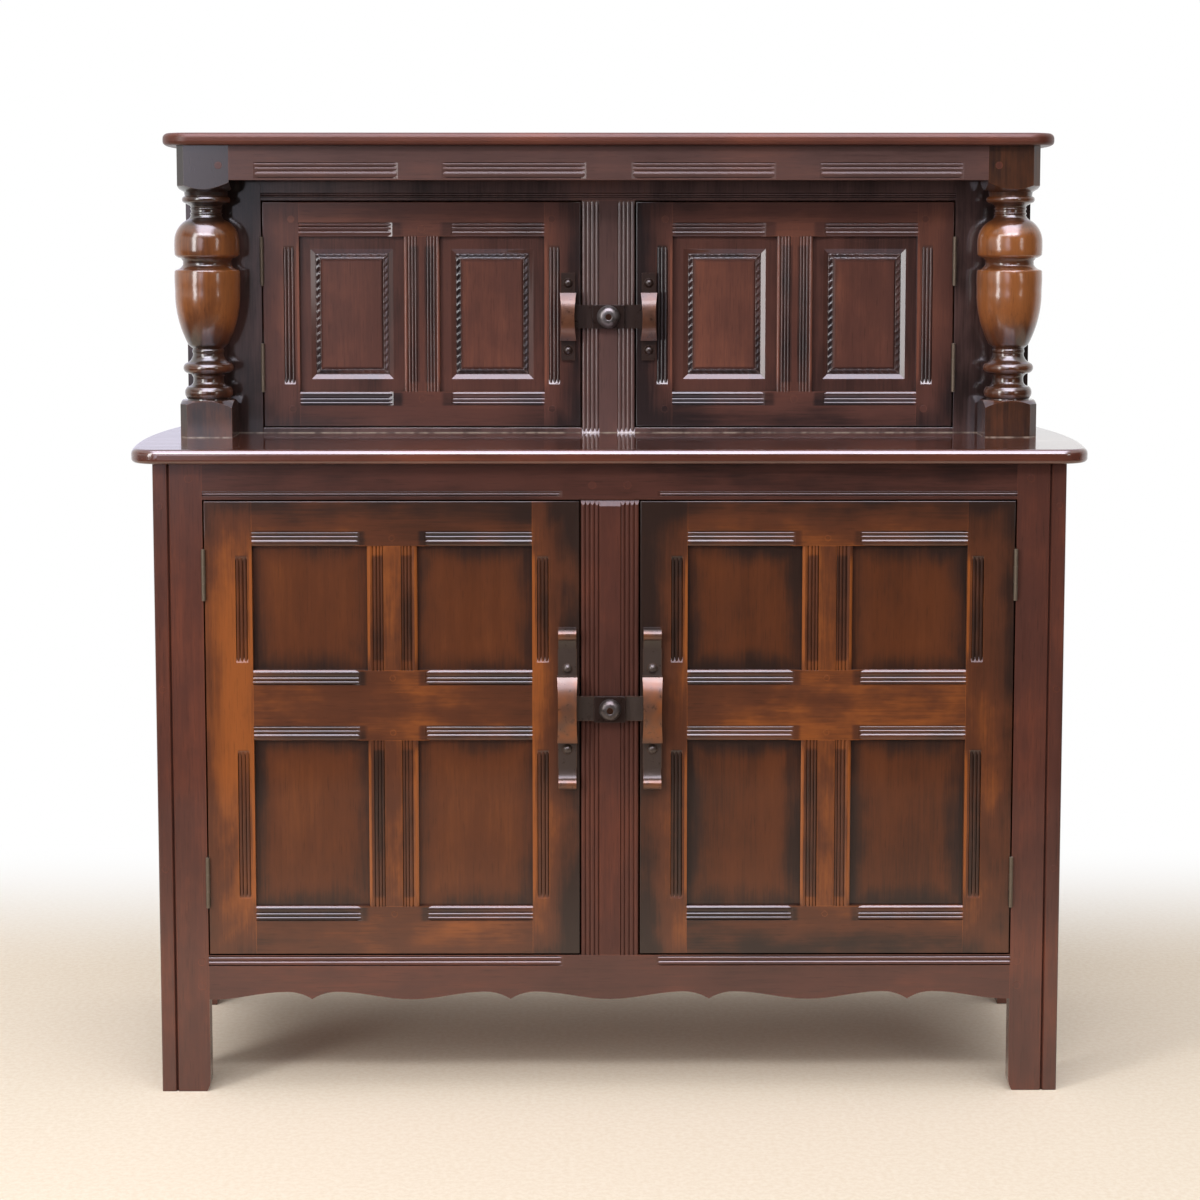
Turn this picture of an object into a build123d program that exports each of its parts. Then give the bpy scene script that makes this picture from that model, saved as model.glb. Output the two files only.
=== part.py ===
from build123d import *
from dataclasses import dataclass
import os

# Court cupboard in joined oak: a two-door base, and above it a shallow two-door cabinet set back
# between two turned posts. Millimetres, +Z up, the doors face -Y.
# Origin: centre of the overall footprint, on the floor.

# ---------------------------------------------------------------- driving dimensions
# Base carcase
base_width = 1146.0         # across the outer faces of the front legs
base_depth = 430.0          # front face of the legs to the back
base_height = 808.0         # floor to the underside of the middle board
frame_thick = 22.0          # legs, rails and muntins of both front frames
leg_width = 62.0
leg_round = 3.0
foot_round = (4.5, 16.0)    # width and height of the rounding at the inner corner of the foot
strip_width = 17.5          # outer strip of the leg, and the thickness of the framed ends
strip_groove = 4.0          # width of the V groove beside the strip
strip_groove_depth = 3.0
base_rail_height = 46.0
base_muntin_width = 73.0
muntin_bevel_height = 8.4   # bevel that stops the muntin under the top rail
muntin_bevel_depth = 3.0
apron_top = 178.0
apron_lobe = 120.4          # lowest level of the shaped lower edge
apron_rise = 9.8            # height of its arches above the lobes
apron_period = 253.2        # from point to point
apron_arch = 32.0           # from a point to the crown of its arch
apron_point_rise = 0.4

# Framed ends
end_stile_front = 50.0
end_stile_back = 62.0
end_rail_top = 62.0
end_rail_bottom = 60.0
end_rail_floor_gap = 122.0
end_panel_set = 6.0         # panel face below the frame face

# Inside the base
floor_top = 174.0
floor_thick = 14.0
shelf_top = 492.0
shelf_thick = 15.0
shelf_set_back = 62.0       # front edge of the shelf behind the front frame
bearer_width = 15.0
bearer_height = 20.0
back_thick = 5.0

# Middle and top boards
middle_thick = 18.0
middle_lip = 20.0           # overhang in front of the legs
middle_side_lip = 40.0      # overhang over each end where it bows out most
middle_bow_radius = 1250.0
middle_bow_back = 187.0     # from the leg face to the widest point
top_thick = 16.0
top_lip = 15.0              # overhang in front of the posts
top_side_lip = 26.0         # overhang over each post where it bows out most
top_bow_radius = 700.0
top_bow_back = 285.0
board_corner = 38.0
board_edge_top = 7.0        # rounding of the upper edge
board_edge_bottom = 5.5

# Upper cabinet
cabinet_end_in = 8.5        # its ends inside the outer faces of the legs
cabinet_height = 382.0      # middle board to top board
cabinet_set_back = 250.0    # its front behind the leg face
cabinet_stile = 100.0
cabinet_muntin_width = 71.0
cabinet_rail_height = 70.5
cabinet_strip_height = 7.0  # sill under each upper door
cabinet_end_thick = 18.0

# Posts and frieze
post_size = 69.0
post_set_back = 170.0       # post face behind the leg face
post_chamfer = 10.0         # on the outer front arris of each block
post_shoulder_face = 9.0    # how far the turned shoulder rises from a face to an arris
post_upper_block = 57.0
post_pin_radius = 10.0
post_pin_length = 10.0
frieze_height = 45.0
frieze_thick = 20.0

# The turned length from the upper block down: (drop, radius reached, sagitta of the arc).
cap_members = [
    (3.3, 29.0, 0.0),       # shoulder
    (5.2, 28.2, 0.0),
    (9.0, 28.2, 3.6),       # cap bead
    (2.6, 23.6, 0.0),
    (3.6, 20.2, -0.7),      # small hollow
    (3.2, 20.2, 1.1),       # first ring
    (2.8, 20.2, 0.0),
    (3.2, 20.6, 1.1),       # second ring
    (6.8, 26.0, -1.2),
]
cover_members = [
    (27.0, 42.6, 4.1),      # dome of the cover
    (18.4, 42.4, 0.3),
    (4.8, 34.5, 1.0),       # underside
    (3.6, 31.8, 0.0),
    (4.6, 31.8, 0.0),       # waist band
    (7.2, 41.4, -1.6),
    (1.6, 42.8, 0.0),       # lip of the cup
]
cup_members = [
    (24.0, 42.6, 0.4),
    (72.8, 26.3, 4.8),      # body of the cup
    (3.8, 22.0, 0.0),
    (1.6, 20.2, 0.0),
    (6.4, 20.2, 1.1),       # collar
    (12.2, 28.3, -2.0),
    (13.5, 28.3, 4.9),      # great bead
    (1.6, 23.5, 0.0),
    (6.0, 20.2, -0.8),
    (3.8, 20.4, 0.0),
    (6.6, 28.0, -1.6),
    (16.0, 28.2, 3.6),      # foot bead
    (1.4, 28.4, 0.0),
]

# Doors
door_thick = 20.0
door_proud = 0.4            # door faces stand this much in front of the frame
door_arris = 1.2            # rounding of the outer front edges
door_side_gap = 1.8
door_end_gap = 2.0
lower_stile = 59.5
lower_muntin = 63.0
lower_rail_bottom = 61.5
lower_rail_middle = 89.5
lower_rail_top = 56.6
lower_opening_top = 158.0   # height of the upper row of openings
upper_stile = 48.5
upper_muntin = 48.0
upper_rail_bottom = 46.7
upper_rail_top = 46.0

# Joinery inside the frames
groove_depth = 8.0
groove_width = 6.0          # also the thickness of the tenons
panel_thick = 5.4
panel_play = 1.5            # room for a panel to move across its groove
tenon_long = 30.0
tenon_short = 18.0
tenon_shoulder = 9.5
tenon_play = 1.0            # glue space at the end of a tenon
frame_tenon = 8.0           # tenon thickness in the two front frames
lower_peg_radius = 3.5
upper_peg_radius = 4.6
peg_length = 16.0
peg_proud = 0.4
peg_from_edge = 10.0
fit_play = 0.05             # radial play of a round pin in its hole

# Fielded panels of the upper doors: a valley is sunk round the field
valley_width = 110.5
valley_height = 174.6
valley_depth = 3.0
valley_slope = 6.2          # width of the slope down from the border
valley_floor = 5.2
field_slope = 4.4           # width of the slope up to the field
field_rise = 0.6            # the field stands this much over the border
field_body = 9.4            # thickness of the panel inside the opening
field_body_clear = 1.0      # from there to the frame

# Reeds: widths of the beads, from the opening edge outwards
rail_reeds = (8.4, 4.9, 5.0)
stile_reeds = (5.2, 4.9, 4.6)
lower_muntin_reeds = (7.6, 4.6, 4.2, 4.0)
upper_muntin_reeds = (5.2, 4.3, 4.3, 4.2)
frame_reeds = (5.8, 5.8, 5.8, 5.8)
line_reeds = (3.0, 3.0)
apron_reeds = (6.0, 6.0)
frieze_reeds = (8.8, 5.8, 5.4)
reed_rise = 1.9             # height of a bead
reed_roundness = 0.42       # most that a bead rises, as a share of its width
reed_set = 0.5              # crest of a bead below the face
reed_run_out = 7.0          # sloping end of a stopped run
rail_reed_stop = 9.0        # end of a run to the muntin
upper_rail_reed_stop = 15.0
stile_reed_inset = 6.0
stile_reed_stop_top = 13.0
stile_reed_stop_bottom = 10.0
frame_line_stop = 23.0
frame_line_up = 5.0         # line above the lower edge of the base top rail
apron_line_down = 2.0
cabinet_line_up = 4.0
frieze_reed_up = 2.8
frieze_reed_centre = 29.5   # from the middle to the inner runs
frieze_reed_long = 188.5
frieze_reed_between = 57.0
cutter_over = 1.0

# Pegs of the base frame and the posts
leg_peg_top_down = 19.5
leg_peg_top_in = 17.0
leg_peg_apron_in = 9.0
leg_peg_apron_down = (8.5, 40.0)
muntin_peg_apart = 44.0
muntin_peg_up = 18.0
pellet_heights = (290.0, 521.0, 754.0)
pellet_radius = 4.0
pellet_length = 8.0
post_peg_in = 13.5
post_peg_down = 26.0

# Butt hinges
hinge_height = 65.0
hinge_leaf = 1.5
hinge_leaf_deep = 17.0
knuckle_radius = 2.5
knuckle_clear = 0.3         # knuckle to the face of the frame
knuckle_gap = 0.2
hinge_pin_radius = 1.2
lower_hinge_in = 93.0
upper_hinge_in = 79.0

# Turn latches and handles
latch_lower_height = 497.0
latch_upper_height = 982.5
turn_lower = (39.0, 33.0)   # width and height of the plate
turn_upper = (42.6, 31.6)
turn_plate = 6.0
washer_radius = 13.0
tongue_height = 31.6
tongue_thick = 3.0
tongue_clear = 0.5          # tongue end to the turning plate
turn_clear = 0.4            # behind the washer, and between plate and tongues
boss_lower_radius = 13.5
boss_upper_radius = 15.2
boss_rise = 11.5
boss_flat = 6.0
boss_edge = 3.5
pivot_radius = 2.5
pivot_head_radius = 3.9
pivot_head_rise = 1.4
pivot_recess = 3.4
pivot_length = 14.0
handle_lower_in = 15.3      # handle centre from the lock edge of the door
handle_upper_in = 16.8
handle_lower_widths = (23.8, 25.4, 23.0)    # plate, shoulder and middle of the grip
handle_upper_widths = (18.6, 22.0, 17.2)
scroll_width = 22.5
handle_lower_half = 76.0    # half length between the scrolls
handle_upper_half = 58.5
grip_lower_half = 42.0
grip_upper_half = 32.0
handle_thick = 4.5
grip_lower_shoulder = 15.0  # how far the grip stands out where it leaves the door
grip_upper_shoulder = 13.0
handle_lower_reach = 26.0   # how far the middle of the grip stands out
handle_upper_reach = 22.0
scroll_radius = 7.0
scroll_rise = 19.0          # scroll centre above the straight part
scroll_out = 9.5            # scroll centre from the door face
stud_radius = 6.4
stud_rise = 4.4
stud_shank = 2.0
stud_deep = 12.0
stud_lower_from_grip = 9.5
stud_upper_from_grip = 13.0

# ---------------------------------------------------------------- derived positions
front_reach = max(middle_lip, handle_lower_reach + door_proud)
y_front = (front_reach - base_depth) / 2
y_back = y_front + base_depth
y_end = y_front + frame_thick
y_cabinet = y_front + cabinet_set_back
y_post = y_front + post_set_back
x_leg = base_width / 2 - leg_width
x_end = base_width / 2 - strip_width
x_muntin = base_muntin_width / 2
x_cabinet = base_width / 2 - cabinet_end_in
x_cabinet_stile = x_cabinet - cabinet_stile
x_cabinet_muntin = cabinet_muntin_width / 2
x_post_in = x_cabinet - post_size
x_post = x_cabinet - post_size / 2
y_post_axis = y_post + post_size / 2
z_base_rail = base_height - base_rail_height
z_middle = base_height + middle_thick
z_top = z_middle + cabinet_height
z_cabinet_rail = z_top - cabinet_rail_height
z_cabinet_strip = z_middle + cabinet_strip_height
z_frieze = z_top - frieze_height
floor_low = floor_top - floor_thick
shelf_low = shelf_top - shelf_thick
axis_out = knuckle_radius + knuckle_clear
reed_depth = reed_rise + reed_set
tenon_front = (door_thick - groove_width) / 2
frame_tenon_front = (frame_thick - frame_tenon) / 2


# ---------------------------------------------------------------- helpers
def block(x0, x1, y0, y1, z0, z1):
    """A squared piece of wood between two corners."""
    middle = Pos((x0 + x1) / 2, (y0 + y1) / 2, (z0 + z1) / 2)
    return middle * Box(abs(x1 - x0), abs(y1 - y0), abs(z1 - z0))


def rod(x, y0, y1, z, radius):
    """A round pin or hole along Y."""
    return Pos(x, (y0 + y1) / 2, z) * Rot(90, 0, 0) * Cylinder(radius, abs(y1 - y0))


def mirrored(piece):
    """The same piece on the other side of the cupboard."""
    return mirror(piece, about=Plane.YZ)


def write(name, *pieces):
    """Write a named node: one solid, or a group of like solids."""
    solids = [solid for piece in pieces for solid in piece.solids()]
    shape = solids[0] if len(solids) == 1 else Compound(children=solids)
    export_step(shape, os.path.join("parts", name + ".step"))


def write_pair(name, piece):
    """Write a right-hand piece and its mirror image."""
    write(name + "_right", piece)
    write(name + "_left", mirrored(piece))


# ---------------------------------------------------------------- reeded mouldings
def reed_cutter(length, widths, stops, open_edge=True):
    """The wood taken off by a run of reeds. It runs along +X, lies across +Y, and faces +Z.
    stops says whether each end slopes out; a square end runs a little past the length."""
    edge = -cutter_over if open_edge else 0.0
    curves = []
    across = 0.0
    for width in widths:
        crest = (across + width / 2, -reed_depth + min(reed_rise, width * reed_roundness))
        curves.append(ThreePointArc((across, -reed_depth), crest, (across + width, -reed_depth)))
        across += width
    rim = [(across, -reed_depth), (across, cutter_over), (edge, cutter_over), (edge, -reed_depth)]
    if open_edge:
        rim.append((0.0, -reed_depth))
    curves.append(Polyline(*rim))
    profile = Plane.YZ * make_face(curves)
    start = 0.0 if stops[0] else -cutter_over
    end = length if stops[1] else length + cutter_over
    run = Pos(start, 0, 0) * extrude(profile, end - start, dir=(1, 0, 0))
    low = -2 * reed_depth
    slope = reed_run_out * low / -reed_depth
    left = [(start, 0), (start + slope, low)] if stops[0] else [(start, low)]
    right = [(end - slope, low), (end, 0)] if stops[1] else [(end, low)]
    side = Polyline(*left, *right, (end, 2 * cutter_over), (start, 2 * cutter_over), close=True)
    keep = extrude(Plane.XZ * make_face(side), across + 2 * cutter_over, both=True)
    return run & keep


def laid(cutter, start, along):
    """Lay a run of reeds on a front face; it widens to the left of its direction."""
    return Plane(origin=start, x_dir=along, z_dir=(0, -1, 0)) * cutter


def reeds_up(x0, x1, face, z, widths, stops):
    """A run on the rail above an opening."""
    return laid(reed_cutter(x1 - x0, widths, stops), (x0, face, z), (1, 0, 0))


def reeds_down(x0, x1, face, z, widths, stops):
    """A run on the rail below an opening; stops are given from left to right."""
    return laid(reed_cutter(x1 - x0, widths, stops[::-1]), (x1, face, z), (-1, 0, 0))


def reeds_left(x, face, z0, z1, widths, stops, open_edge):
    """An upright run that widens to the left from x; stops are given from the bottom up."""
    return laid(reed_cutter(z1 - z0, widths, stops, open_edge), (x, face, z0), (0, 0, 1))


def reeds_right(x, face, z0, z1, widths, stops, open_edge):
    """An upright run that widens to the right from x."""
    return laid(reed_cutter(z1 - z0, widths, stops[::-1], open_edge), (x, face, z1), (0, 0, -1))


def reeded_muntin(half, face, z0, z1, widths, stopped=False):
    """The two reeded edges of a muntin centred on x = 0, over its length or stopped at both ends."""
    stops = (stopped, stopped)
    left = reeds_right(-half, face, z0, z1, widths, stops, True)
    right = reeds_left(half, face, z0, z1, widths, stops, True)
    return left + right


# ---------------------------------------------------------------- base carcase
def leg_pegs():
    """Pegs through the tenons of both rails, and pellets over the screws of the end frame."""
    spots = [(x_leg + leg_peg_top_in, base_height - leg_peg_top_down)]
    spots += [(x_leg + leg_peg_apron_in, apron_top - down) for down in leg_peg_apron_down]
    return spots


def pellet_spots():
    return [(base_width / 2 - strip_width / 2, z) for z in pellet_heights]


def frame_mortise(x0, x1, z0, z1, face):
    """Mortise through the edge of a front-frame member."""
    y0 = face + frame_tenon_front
    return block(x0, x1, y0, y0 + frame_tenon, z0, z1)


def front_leg():
    """Right front leg: a stile to the floor with a V groove beside its outer strip."""
    x_out = base_width / 2
    x_groove = x_end - strip_groove / 2
    section = make_face(
        Polyline(
            (x_leg, y_front),
            (x_groove - strip_groove / 2, y_front),
            (x_groove, y_front + strip_groove_depth),
            (x_groove + strip_groove / 2, y_front),
            (x_out, y_front),
            (x_out, y_end),
            (x_leg, y_end),
            close=True,
        )
    )
    corner = section.vertices().sort_by_distance((x_out, y_front, 0))[0]
    leg = extrude(fillet(corner, leg_round), base_height, dir=(0, 0, 1)) - foot_corner()
    rail_low = z_base_rail + tenon_shoulder
    rail_high = base_height - tenon_shoulder
    reach = x_leg + tenon_long + tenon_play
    leg -= frame_mortise(x_leg, reach, rail_low, rail_high, y_front)
    leg -= frame_mortise(x_leg, reach, apron_low_tenon(), apron_top - tenon_shoulder, y_front)
    for x, z in leg_pegs():
        leg -= rod(x, y_front - cutter_over, y_front + peg_length, z, upper_peg_radius + fit_play)
    for x, z in pellet_spots():
        leg -= rod(x, y_front - cutter_over, y_front + pellet_length, z, pellet_radius + fit_play)
    for z in lower_hinge_heights():
        leg -= hinge_housing(x_leg, y_front, z)
    return leg


def foot_corner():
    """Wood rounded off the inner corner of the right-hand foot."""
    wide, high = foot_round
    edge = [
        Line((x_leg - cutter_over, 0), (x_leg + wide, 0)),
        SagittaArc((x_leg + wide, 0), (x_leg, high), wide / 4),
        Line((x_leg, high), (x_leg - cutter_over, high)),
        Line((x_leg - cutter_over, high), (x_leg - cutter_over, 0)),
    ]
    corner = extrude(Plane.XZ * make_face(edge), frame_thick + cutter_over, dir=(0, 1, 0))
    return Pos(0, y_front - cutter_over / 2, 0) * corner


def apron_low_tenon():
    """Lower end of the apron tenons."""
    return apron_lobe + apron_rise + tenon_shoulder / 2


def base_top_rail():
    """Rail over the base doors, tenoned into the legs, with a scratched line over each door."""
    rail = block(-x_leg, x_leg, y_front, y_end, z_base_rail, base_height)
    tenon_y = y_front + frame_tenon_front
    low = z_base_rail + tenon_shoulder
    high = base_height - tenon_shoulder
    reach = x_leg + tenon_long
    rail += block(-reach, reach, tenon_y, tenon_y + frame_tenon, low, high)
    half = x_muntin - tenon_shoulder
    rail -= frame_mortise(-half, half, z_base_rail, z_base_rail + tenon_short + tenon_play, y_front)
    rail += frame_mortise(-half, half, z_base_rail + tenon_short + tenon_play, high, y_front)
    z_line = z_base_rail + frame_line_up
    x_stop = x_muntin + frame_line_stop
    for line in (
        reeds_up(-x_leg, -x_stop, y_front, z_line, line_reeds, (False, True)),
        reeds_up(x_stop, x_leg, y_front, z_line, line_reeds, (True, False)),
    ):
        rail -= line
    for x, z in top_muntin_pegs():
        rail -= rod(x, y_front - cutter_over, y_front + peg_length, z, upper_peg_radius + fit_play)
    for x, z in leg_pegs()[:1]:
        for side in (-x, x):
            rail -= rod(side, y_front, y_front + peg_length, z, upper_peg_radius + fit_play)
    return rail


def top_muntin_pegs():
    """The two pegs over the base muntin."""
    return [(side * muntin_peg_apart / 2, z_base_rail + muntin_peg_up) for side in (-1, 1)]


def apron_edge():
    """Half of the shaped lower edge, from the middle lobe out to the leg: arches and points."""
    low = apron_lobe
    crown = apron_lobe + apron_rise
    curves = []
    x_lobe = 0.0
    while x_lobe < x_leg:
        x_point = x_lobe + apron_period / 2
        rise = (x_point - apron_arch, crown)
        fall = (x_point + apron_arch, crown)
        point = (x_point, low + apron_point_rise)
        curves.append(Spline((x_lobe, low), rise, tangents=[(1, 0), (1, 0)]))
        curves.append(SagittaArc(rise, point, apron_rise / 4))
        curves.append(SagittaArc(point, fall, apron_rise / 4))
        curves.append(Spline(fall, (x_lobe + apron_period, low), tangents=[(1, 0), (1, 0)]))
        x_lobe += apron_period
    return curves, x_lobe


def apron_rail():
    """Shaped rail under the base doors, with a double bead along its top."""
    curves, x_far = apron_edge()
    curves.append(Polyline((x_far, apron_lobe), (x_far, apron_top), (0, apron_top), (0, apron_lobe)))
    half = extrude(Plane.XZ * make_face(curves), frame_thick, dir=(0, 1, 0))
    half = Pos(0, y_front, 0) * half
    half &= block(0, x_leg, y_front, y_end, 0, apron_top)
    rail = half + mirrored(half)
    tenon_y = y_front + frame_tenon_front
    reach = x_leg + tenon_long
    low = apron_low_tenon()
    for side in (-1, 1):
        rail += block(
            side * (x_leg - tenon_shoulder), side * reach,
            tenon_y, tenon_y + frame_tenon, low, apron_top - tenon_shoulder,
        )
    inner = x_muntin - tenon_shoulder
    rail -= frame_mortise(-inner, inner, apron_top - tenon_short - tenon_play, apron_top, y_front)
    z_line = apron_top - apron_line_down
    x_stop = x_muntin + frame_line_stop
    rail -= reeds_down(-x_leg, -x_stop, y_front, z_line, apron_reeds, (False, True))
    rail -= reeds_down(x_stop, x_leg, y_front, z_line, apron_reeds, (True, False))
    for x, z in leg_pegs()[1:]:
        for side in (-x, x):
            rail -= rod(side, y_front, y_front + peg_length, z, upper_peg_radius + fit_play)
    return rail


def base_muntin():
    """Reeded upright between the base doors, bevelled under the top rail."""
    half = x_muntin
    muntin = block(-half, half, y_front, y_end, apron_top, z_base_rail)
    muntin -= reeded_muntin(half, y_front, apron_top, z_base_rail, frame_reeds)
    bevel = make_face(
        Polyline(
            (y_front - cutter_over, z_base_rail - muntin_bevel_height),
            (y_front, z_base_rail - muntin_bevel_height),
            (y_front + muntin_bevel_depth, z_base_rail),
            (y_front - cutter_over, z_base_rail),
            close=True,
        )
    )
    muntin -= extrude(Plane.YZ * bevel, half + cutter_over, both=True)
    inner = half - tenon_shoulder
    muntin += frame_mortise(-inner, inner, z_base_rail, z_base_rail + tenon_short, y_front)
    muntin += frame_mortise(-inner, inner, apron_top - tenon_short, apron_top, y_front)
    for x, z in top_muntin_pegs():
        muntin -= rod(x, y_front, y_front + peg_length, z, upper_peg_radius + fit_play)
    return muntin - pivot_hole(y_front, latch_lower_height)


def end_groove(y0, y1, z0, z1):
    """Groove for the end panel, in the plane of the right-hand end."""
    x1 = base_width / 2 - end_panel_set
    return block(x1 - groove_width, x1, y0, y1, z0, z1)


def end_levels():
    """Lower and upper edge of the end panel's opening."""
    return end_rail_floor_gap + end_rail_bottom, base_height - end_rail_top


def end_stiles():
    """Front and back uprights of the right-hand end; both run to the floor."""
    low, high = end_levels()
    y_stile = y_end + end_stile_front
    y_rear = y_back - end_stile_back
    front = block(x_end, base_width / 2, y_end, y_stile, 0, base_height)
    rear = block(x_end, base_width / 2, y_rear, y_back, 0, base_height)
    front -= end_groove(y_stile - groove_depth, y_stile, low - groove_depth, high + groove_depth)
    rear -= end_groove(y_rear, y_rear + groove_depth, low - groove_depth, high + groove_depth)
    for z0, z1 in end_tenon_levels():
        front -= end_groove(y_stile - tenon_long - tenon_play, y_stile, z0, z1)
        rear -= end_groove(y_rear, y_rear + tenon_long + tenon_play, z0, z1)
    return front, rear


def end_tenon_levels():
    low, high = end_levels()
    return [
        (end_rail_floor_gap + tenon_shoulder, low - tenon_shoulder),
        (high + tenon_shoulder, base_height - tenon_shoulder),
    ]


def end_rails():
    """Lower and upper rail of the right-hand end, tenoned into the uprights."""
    low, high = end_levels()
    y0 = y_end + end_stile_front
    y1 = y_back - end_stile_back
    lower = block(x_end, base_width / 2, y0, y1, end_rail_floor_gap, low)
    upper = block(x_end, base_width / 2, y0, y1, high, base_height)
    lower -= end_groove(y0, y1, low - groove_depth, low)
    upper -= end_groove(y0, y1, high, high + groove_depth)
    lower_tenon, upper_tenon = end_tenon_levels()
    lower += end_groove(y0 - tenon_long, y1 + tenon_long, *lower_tenon)
    upper += end_groove(y0 - tenon_long, y1 + tenon_long, *upper_tenon)
    return lower, upper


def end_panel():
    """Flat panel of the right-hand end, loose in its grooves."""
    low, high = end_levels()
    tongue = groove_depth - panel_play
    x1 = base_width / 2 - end_panel_set - (groove_width - panel_thick) / 2
    y0 = y_end + end_stile_front - tongue
    y1 = y_back - end_stile_back + tongue
    return block(x1 - panel_thick, x1, y0, y1, low - tongue, high + tongue)


def base_inside():
    """Floor, back, shelf and the two shelf bearers."""
    y_inner = y_back - back_thick
    floor = block(-x_end, x_end, y_end, y_inner, floor_low, floor_top)
    back = block(-x_end, x_end, y_inner, y_back, floor_low, base_height)
    shelf = block(-x_end, x_end, y_front + shelf_set_back, y_inner, shelf_low, shelf_top)
    x_bearer = x_end - bearer_width
    bearer = block(x_bearer, x_end, y_front + shelf_set_back, y_inner, shelf_low - bearer_height, shelf_low)
    return floor, back, shelf, bearer


# ---------------------------------------------------------------- boards
def bowed_board(y0, y1, half, radius, y_wide, z0, thick):
    """A board with bowed ends, rounded front corners and a rounded edge on three sides."""
    x_front = half - radius + (radius**2 - (y_wide - y0) ** 2) ** 0.5
    x_rear = half - radius + (radius**2 - (y1 - y_wide) ** 2) ** 0.5
    right = ThreePointArc((x_front, y0), (half, y_wide), (x_rear, y1))
    left = ThreePointArc((-x_rear, y1), (-half, y_wide), (-x_front, y0))
    front = Line((-x_front, y0), (x_front, y0))
    rear = Line((x_rear, y1), (-x_rear, y1))
    plan = make_face([front, right, rear, left])
    corners = plan.vertices().sort_by(Axis.Y)[:2]
    board = extrude(fillet(corners, board_corner), thick, dir=(0, 0, 1))
    for side, edge_round in ((-1, board_edge_top), (0, board_edge_bottom)):
        rim = board.faces().sort_by(Axis.Z)[side].edges()
        rim = rim.filter_by(lambda edge: edge.center().Y < y1 - cutter_over)
        board = fillet(rim, edge_round)
    return Pos(0, 0, z0) * board


def post_sockets(board, z0, z1):
    """Holes for the pins of both posts."""
    for side in (-x_post, x_post):
        middle = Pos(side, y_post_axis, (z0 + z1) / 2)
        board -= middle * Cylinder(post_pin_radius + fit_play, z1 - z0)
    return board


def middle_board():
    board = bowed_board(
        y_front - middle_lip, y_back, base_width / 2 + middle_side_lip, middle_bow_radius,
        y_front + middle_bow_back, base_height, middle_thick,
    )
    return post_sockets(board, z_middle - post_pin_length - tenon_play, z_middle + cutter_over)


def top_board():
    board = bowed_board(
        y_post - top_lip, y_back, x_cabinet + top_side_lip, top_bow_radius,
        y_front + top_bow_back, z_top, top_thick,
    )
    return post_sockets(board, z_top - cutter_over, z_top + post_pin_length + tenon_play)


# ---------------------------------------------------------------- turned posts
def post_outline():
    """Half outline of the turned length, from the upper block down to the lower one."""
    z = z_top - post_upper_block
    radius = post_size / 2
    curves = [Line((0, z), (radius, z))]
    for drop, reached, sagitta in cap_members + cover_members + cup_members:
        start, end = (radius, z), (reached, z - drop)
        curves.append(SagittaArc(start, end, sagitta) if sagitta else Line(start, end))
        radius, z = end
    return curves, radius, z


def post_block(z_square, z_turned):
    """A squared block whose turned shoulder curves off its faces towards z_turned."""
    half = post_size / 2
    corner = half * 2**0.5
    away = post_shoulder_face if z_square > z_turned else -post_shoulder_face
    square = block(
        x_post - half, x_post + half, y_post, y_post + post_size,
        min(z_square, z_turned), max(z_square, z_turned),
    )
    arris = square.edges().filter_by(Axis.Z).sort_by_distance((x_cabinet, y_post, z_turned))[0]
    square = chamfer(arris, post_chamfer)
    cone = make_face(
        Polyline((0, z_square), (corner, z_square), (corner, z_turned + away),
                 (half, z_turned), (0, z_turned), close=True)
    )
    turned = revolve(Plane.XZ * cone, Axis.Z)
    return square & (Pos(x_post, y_post_axis, 0) * turned)


def post():
    """Right-hand post: two blocks, and the cup-and-cover turning between them."""
    curves, radius, z_foot = post_outline()
    curves.append(Polyline((radius, z_foot), (0, z_foot), (0, z_top - post_upper_block)))
    turned = revolve(Plane.XZ * make_face(curves), Axis.Z)
    turned = Pos(x_post, y_post_axis, 0) * turned
    piece = turned + post_block(z_top, z_top - post_upper_block) + post_block(z_middle, z_foot)
    for z0, z1 in ((z_middle - post_pin_length, z_middle), (z_top, z_top + post_pin_length)):
        piece += Pos(x_post, y_post_axis, (z0 + z1) / 2) * Cylinder(post_pin_radius, z1 - z0)
    piece -= frieze_tenon(tenon_play)
    peg_x, peg_z = post_peg_spot()
    return piece - rod(peg_x, y_post - cutter_over, y_post + peg_length, peg_z, upper_peg_radius + fit_play)


def post_peg_spot():
    return x_post_in + post_peg_in, z_top - post_peg_down


def frieze_tenon(play):
    """Tenon of the frieze rail in the right-hand post, longer by the play for its mortise."""
    y0 = y_post + (frieze_thick - groove_width) / 2
    reach = x_post_in + tenon_long + play
    return block(x_post_in, reach, y0, y0 + groove_width, z_frieze + tenon_shoulder, z_top - tenon_shoulder)


def frieze_rail():
    """Rail between the posts with four stopped runs of reeds."""
    rail = block(-x_post_in, x_post_in, y_post, y_post + frieze_thick, z_frieze, z_top)
    tenon = frieze_tenon(0.0)
    rail += tenon
    rail += mirrored(tenon)
    peg_x, peg_z = post_peg_spot()
    for side in (-peg_x, peg_x):
        rail -= rod(side, y_post, y_post + peg_length, peg_z, upper_peg_radius + fit_play)
    start = frieze_reed_centre
    while start + frieze_reed_long < x_post_in:
        end = start + frieze_reed_long
        z = z_frieze + frieze_reed_up
        rail -= reeds_up(start, end, y_post, z, frieze_reeds, (True, True))
        rail -= reeds_up(-end, -start, y_post, z, frieze_reeds, (True, True))
        start = end + frieze_reed_between
    return rail


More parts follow.
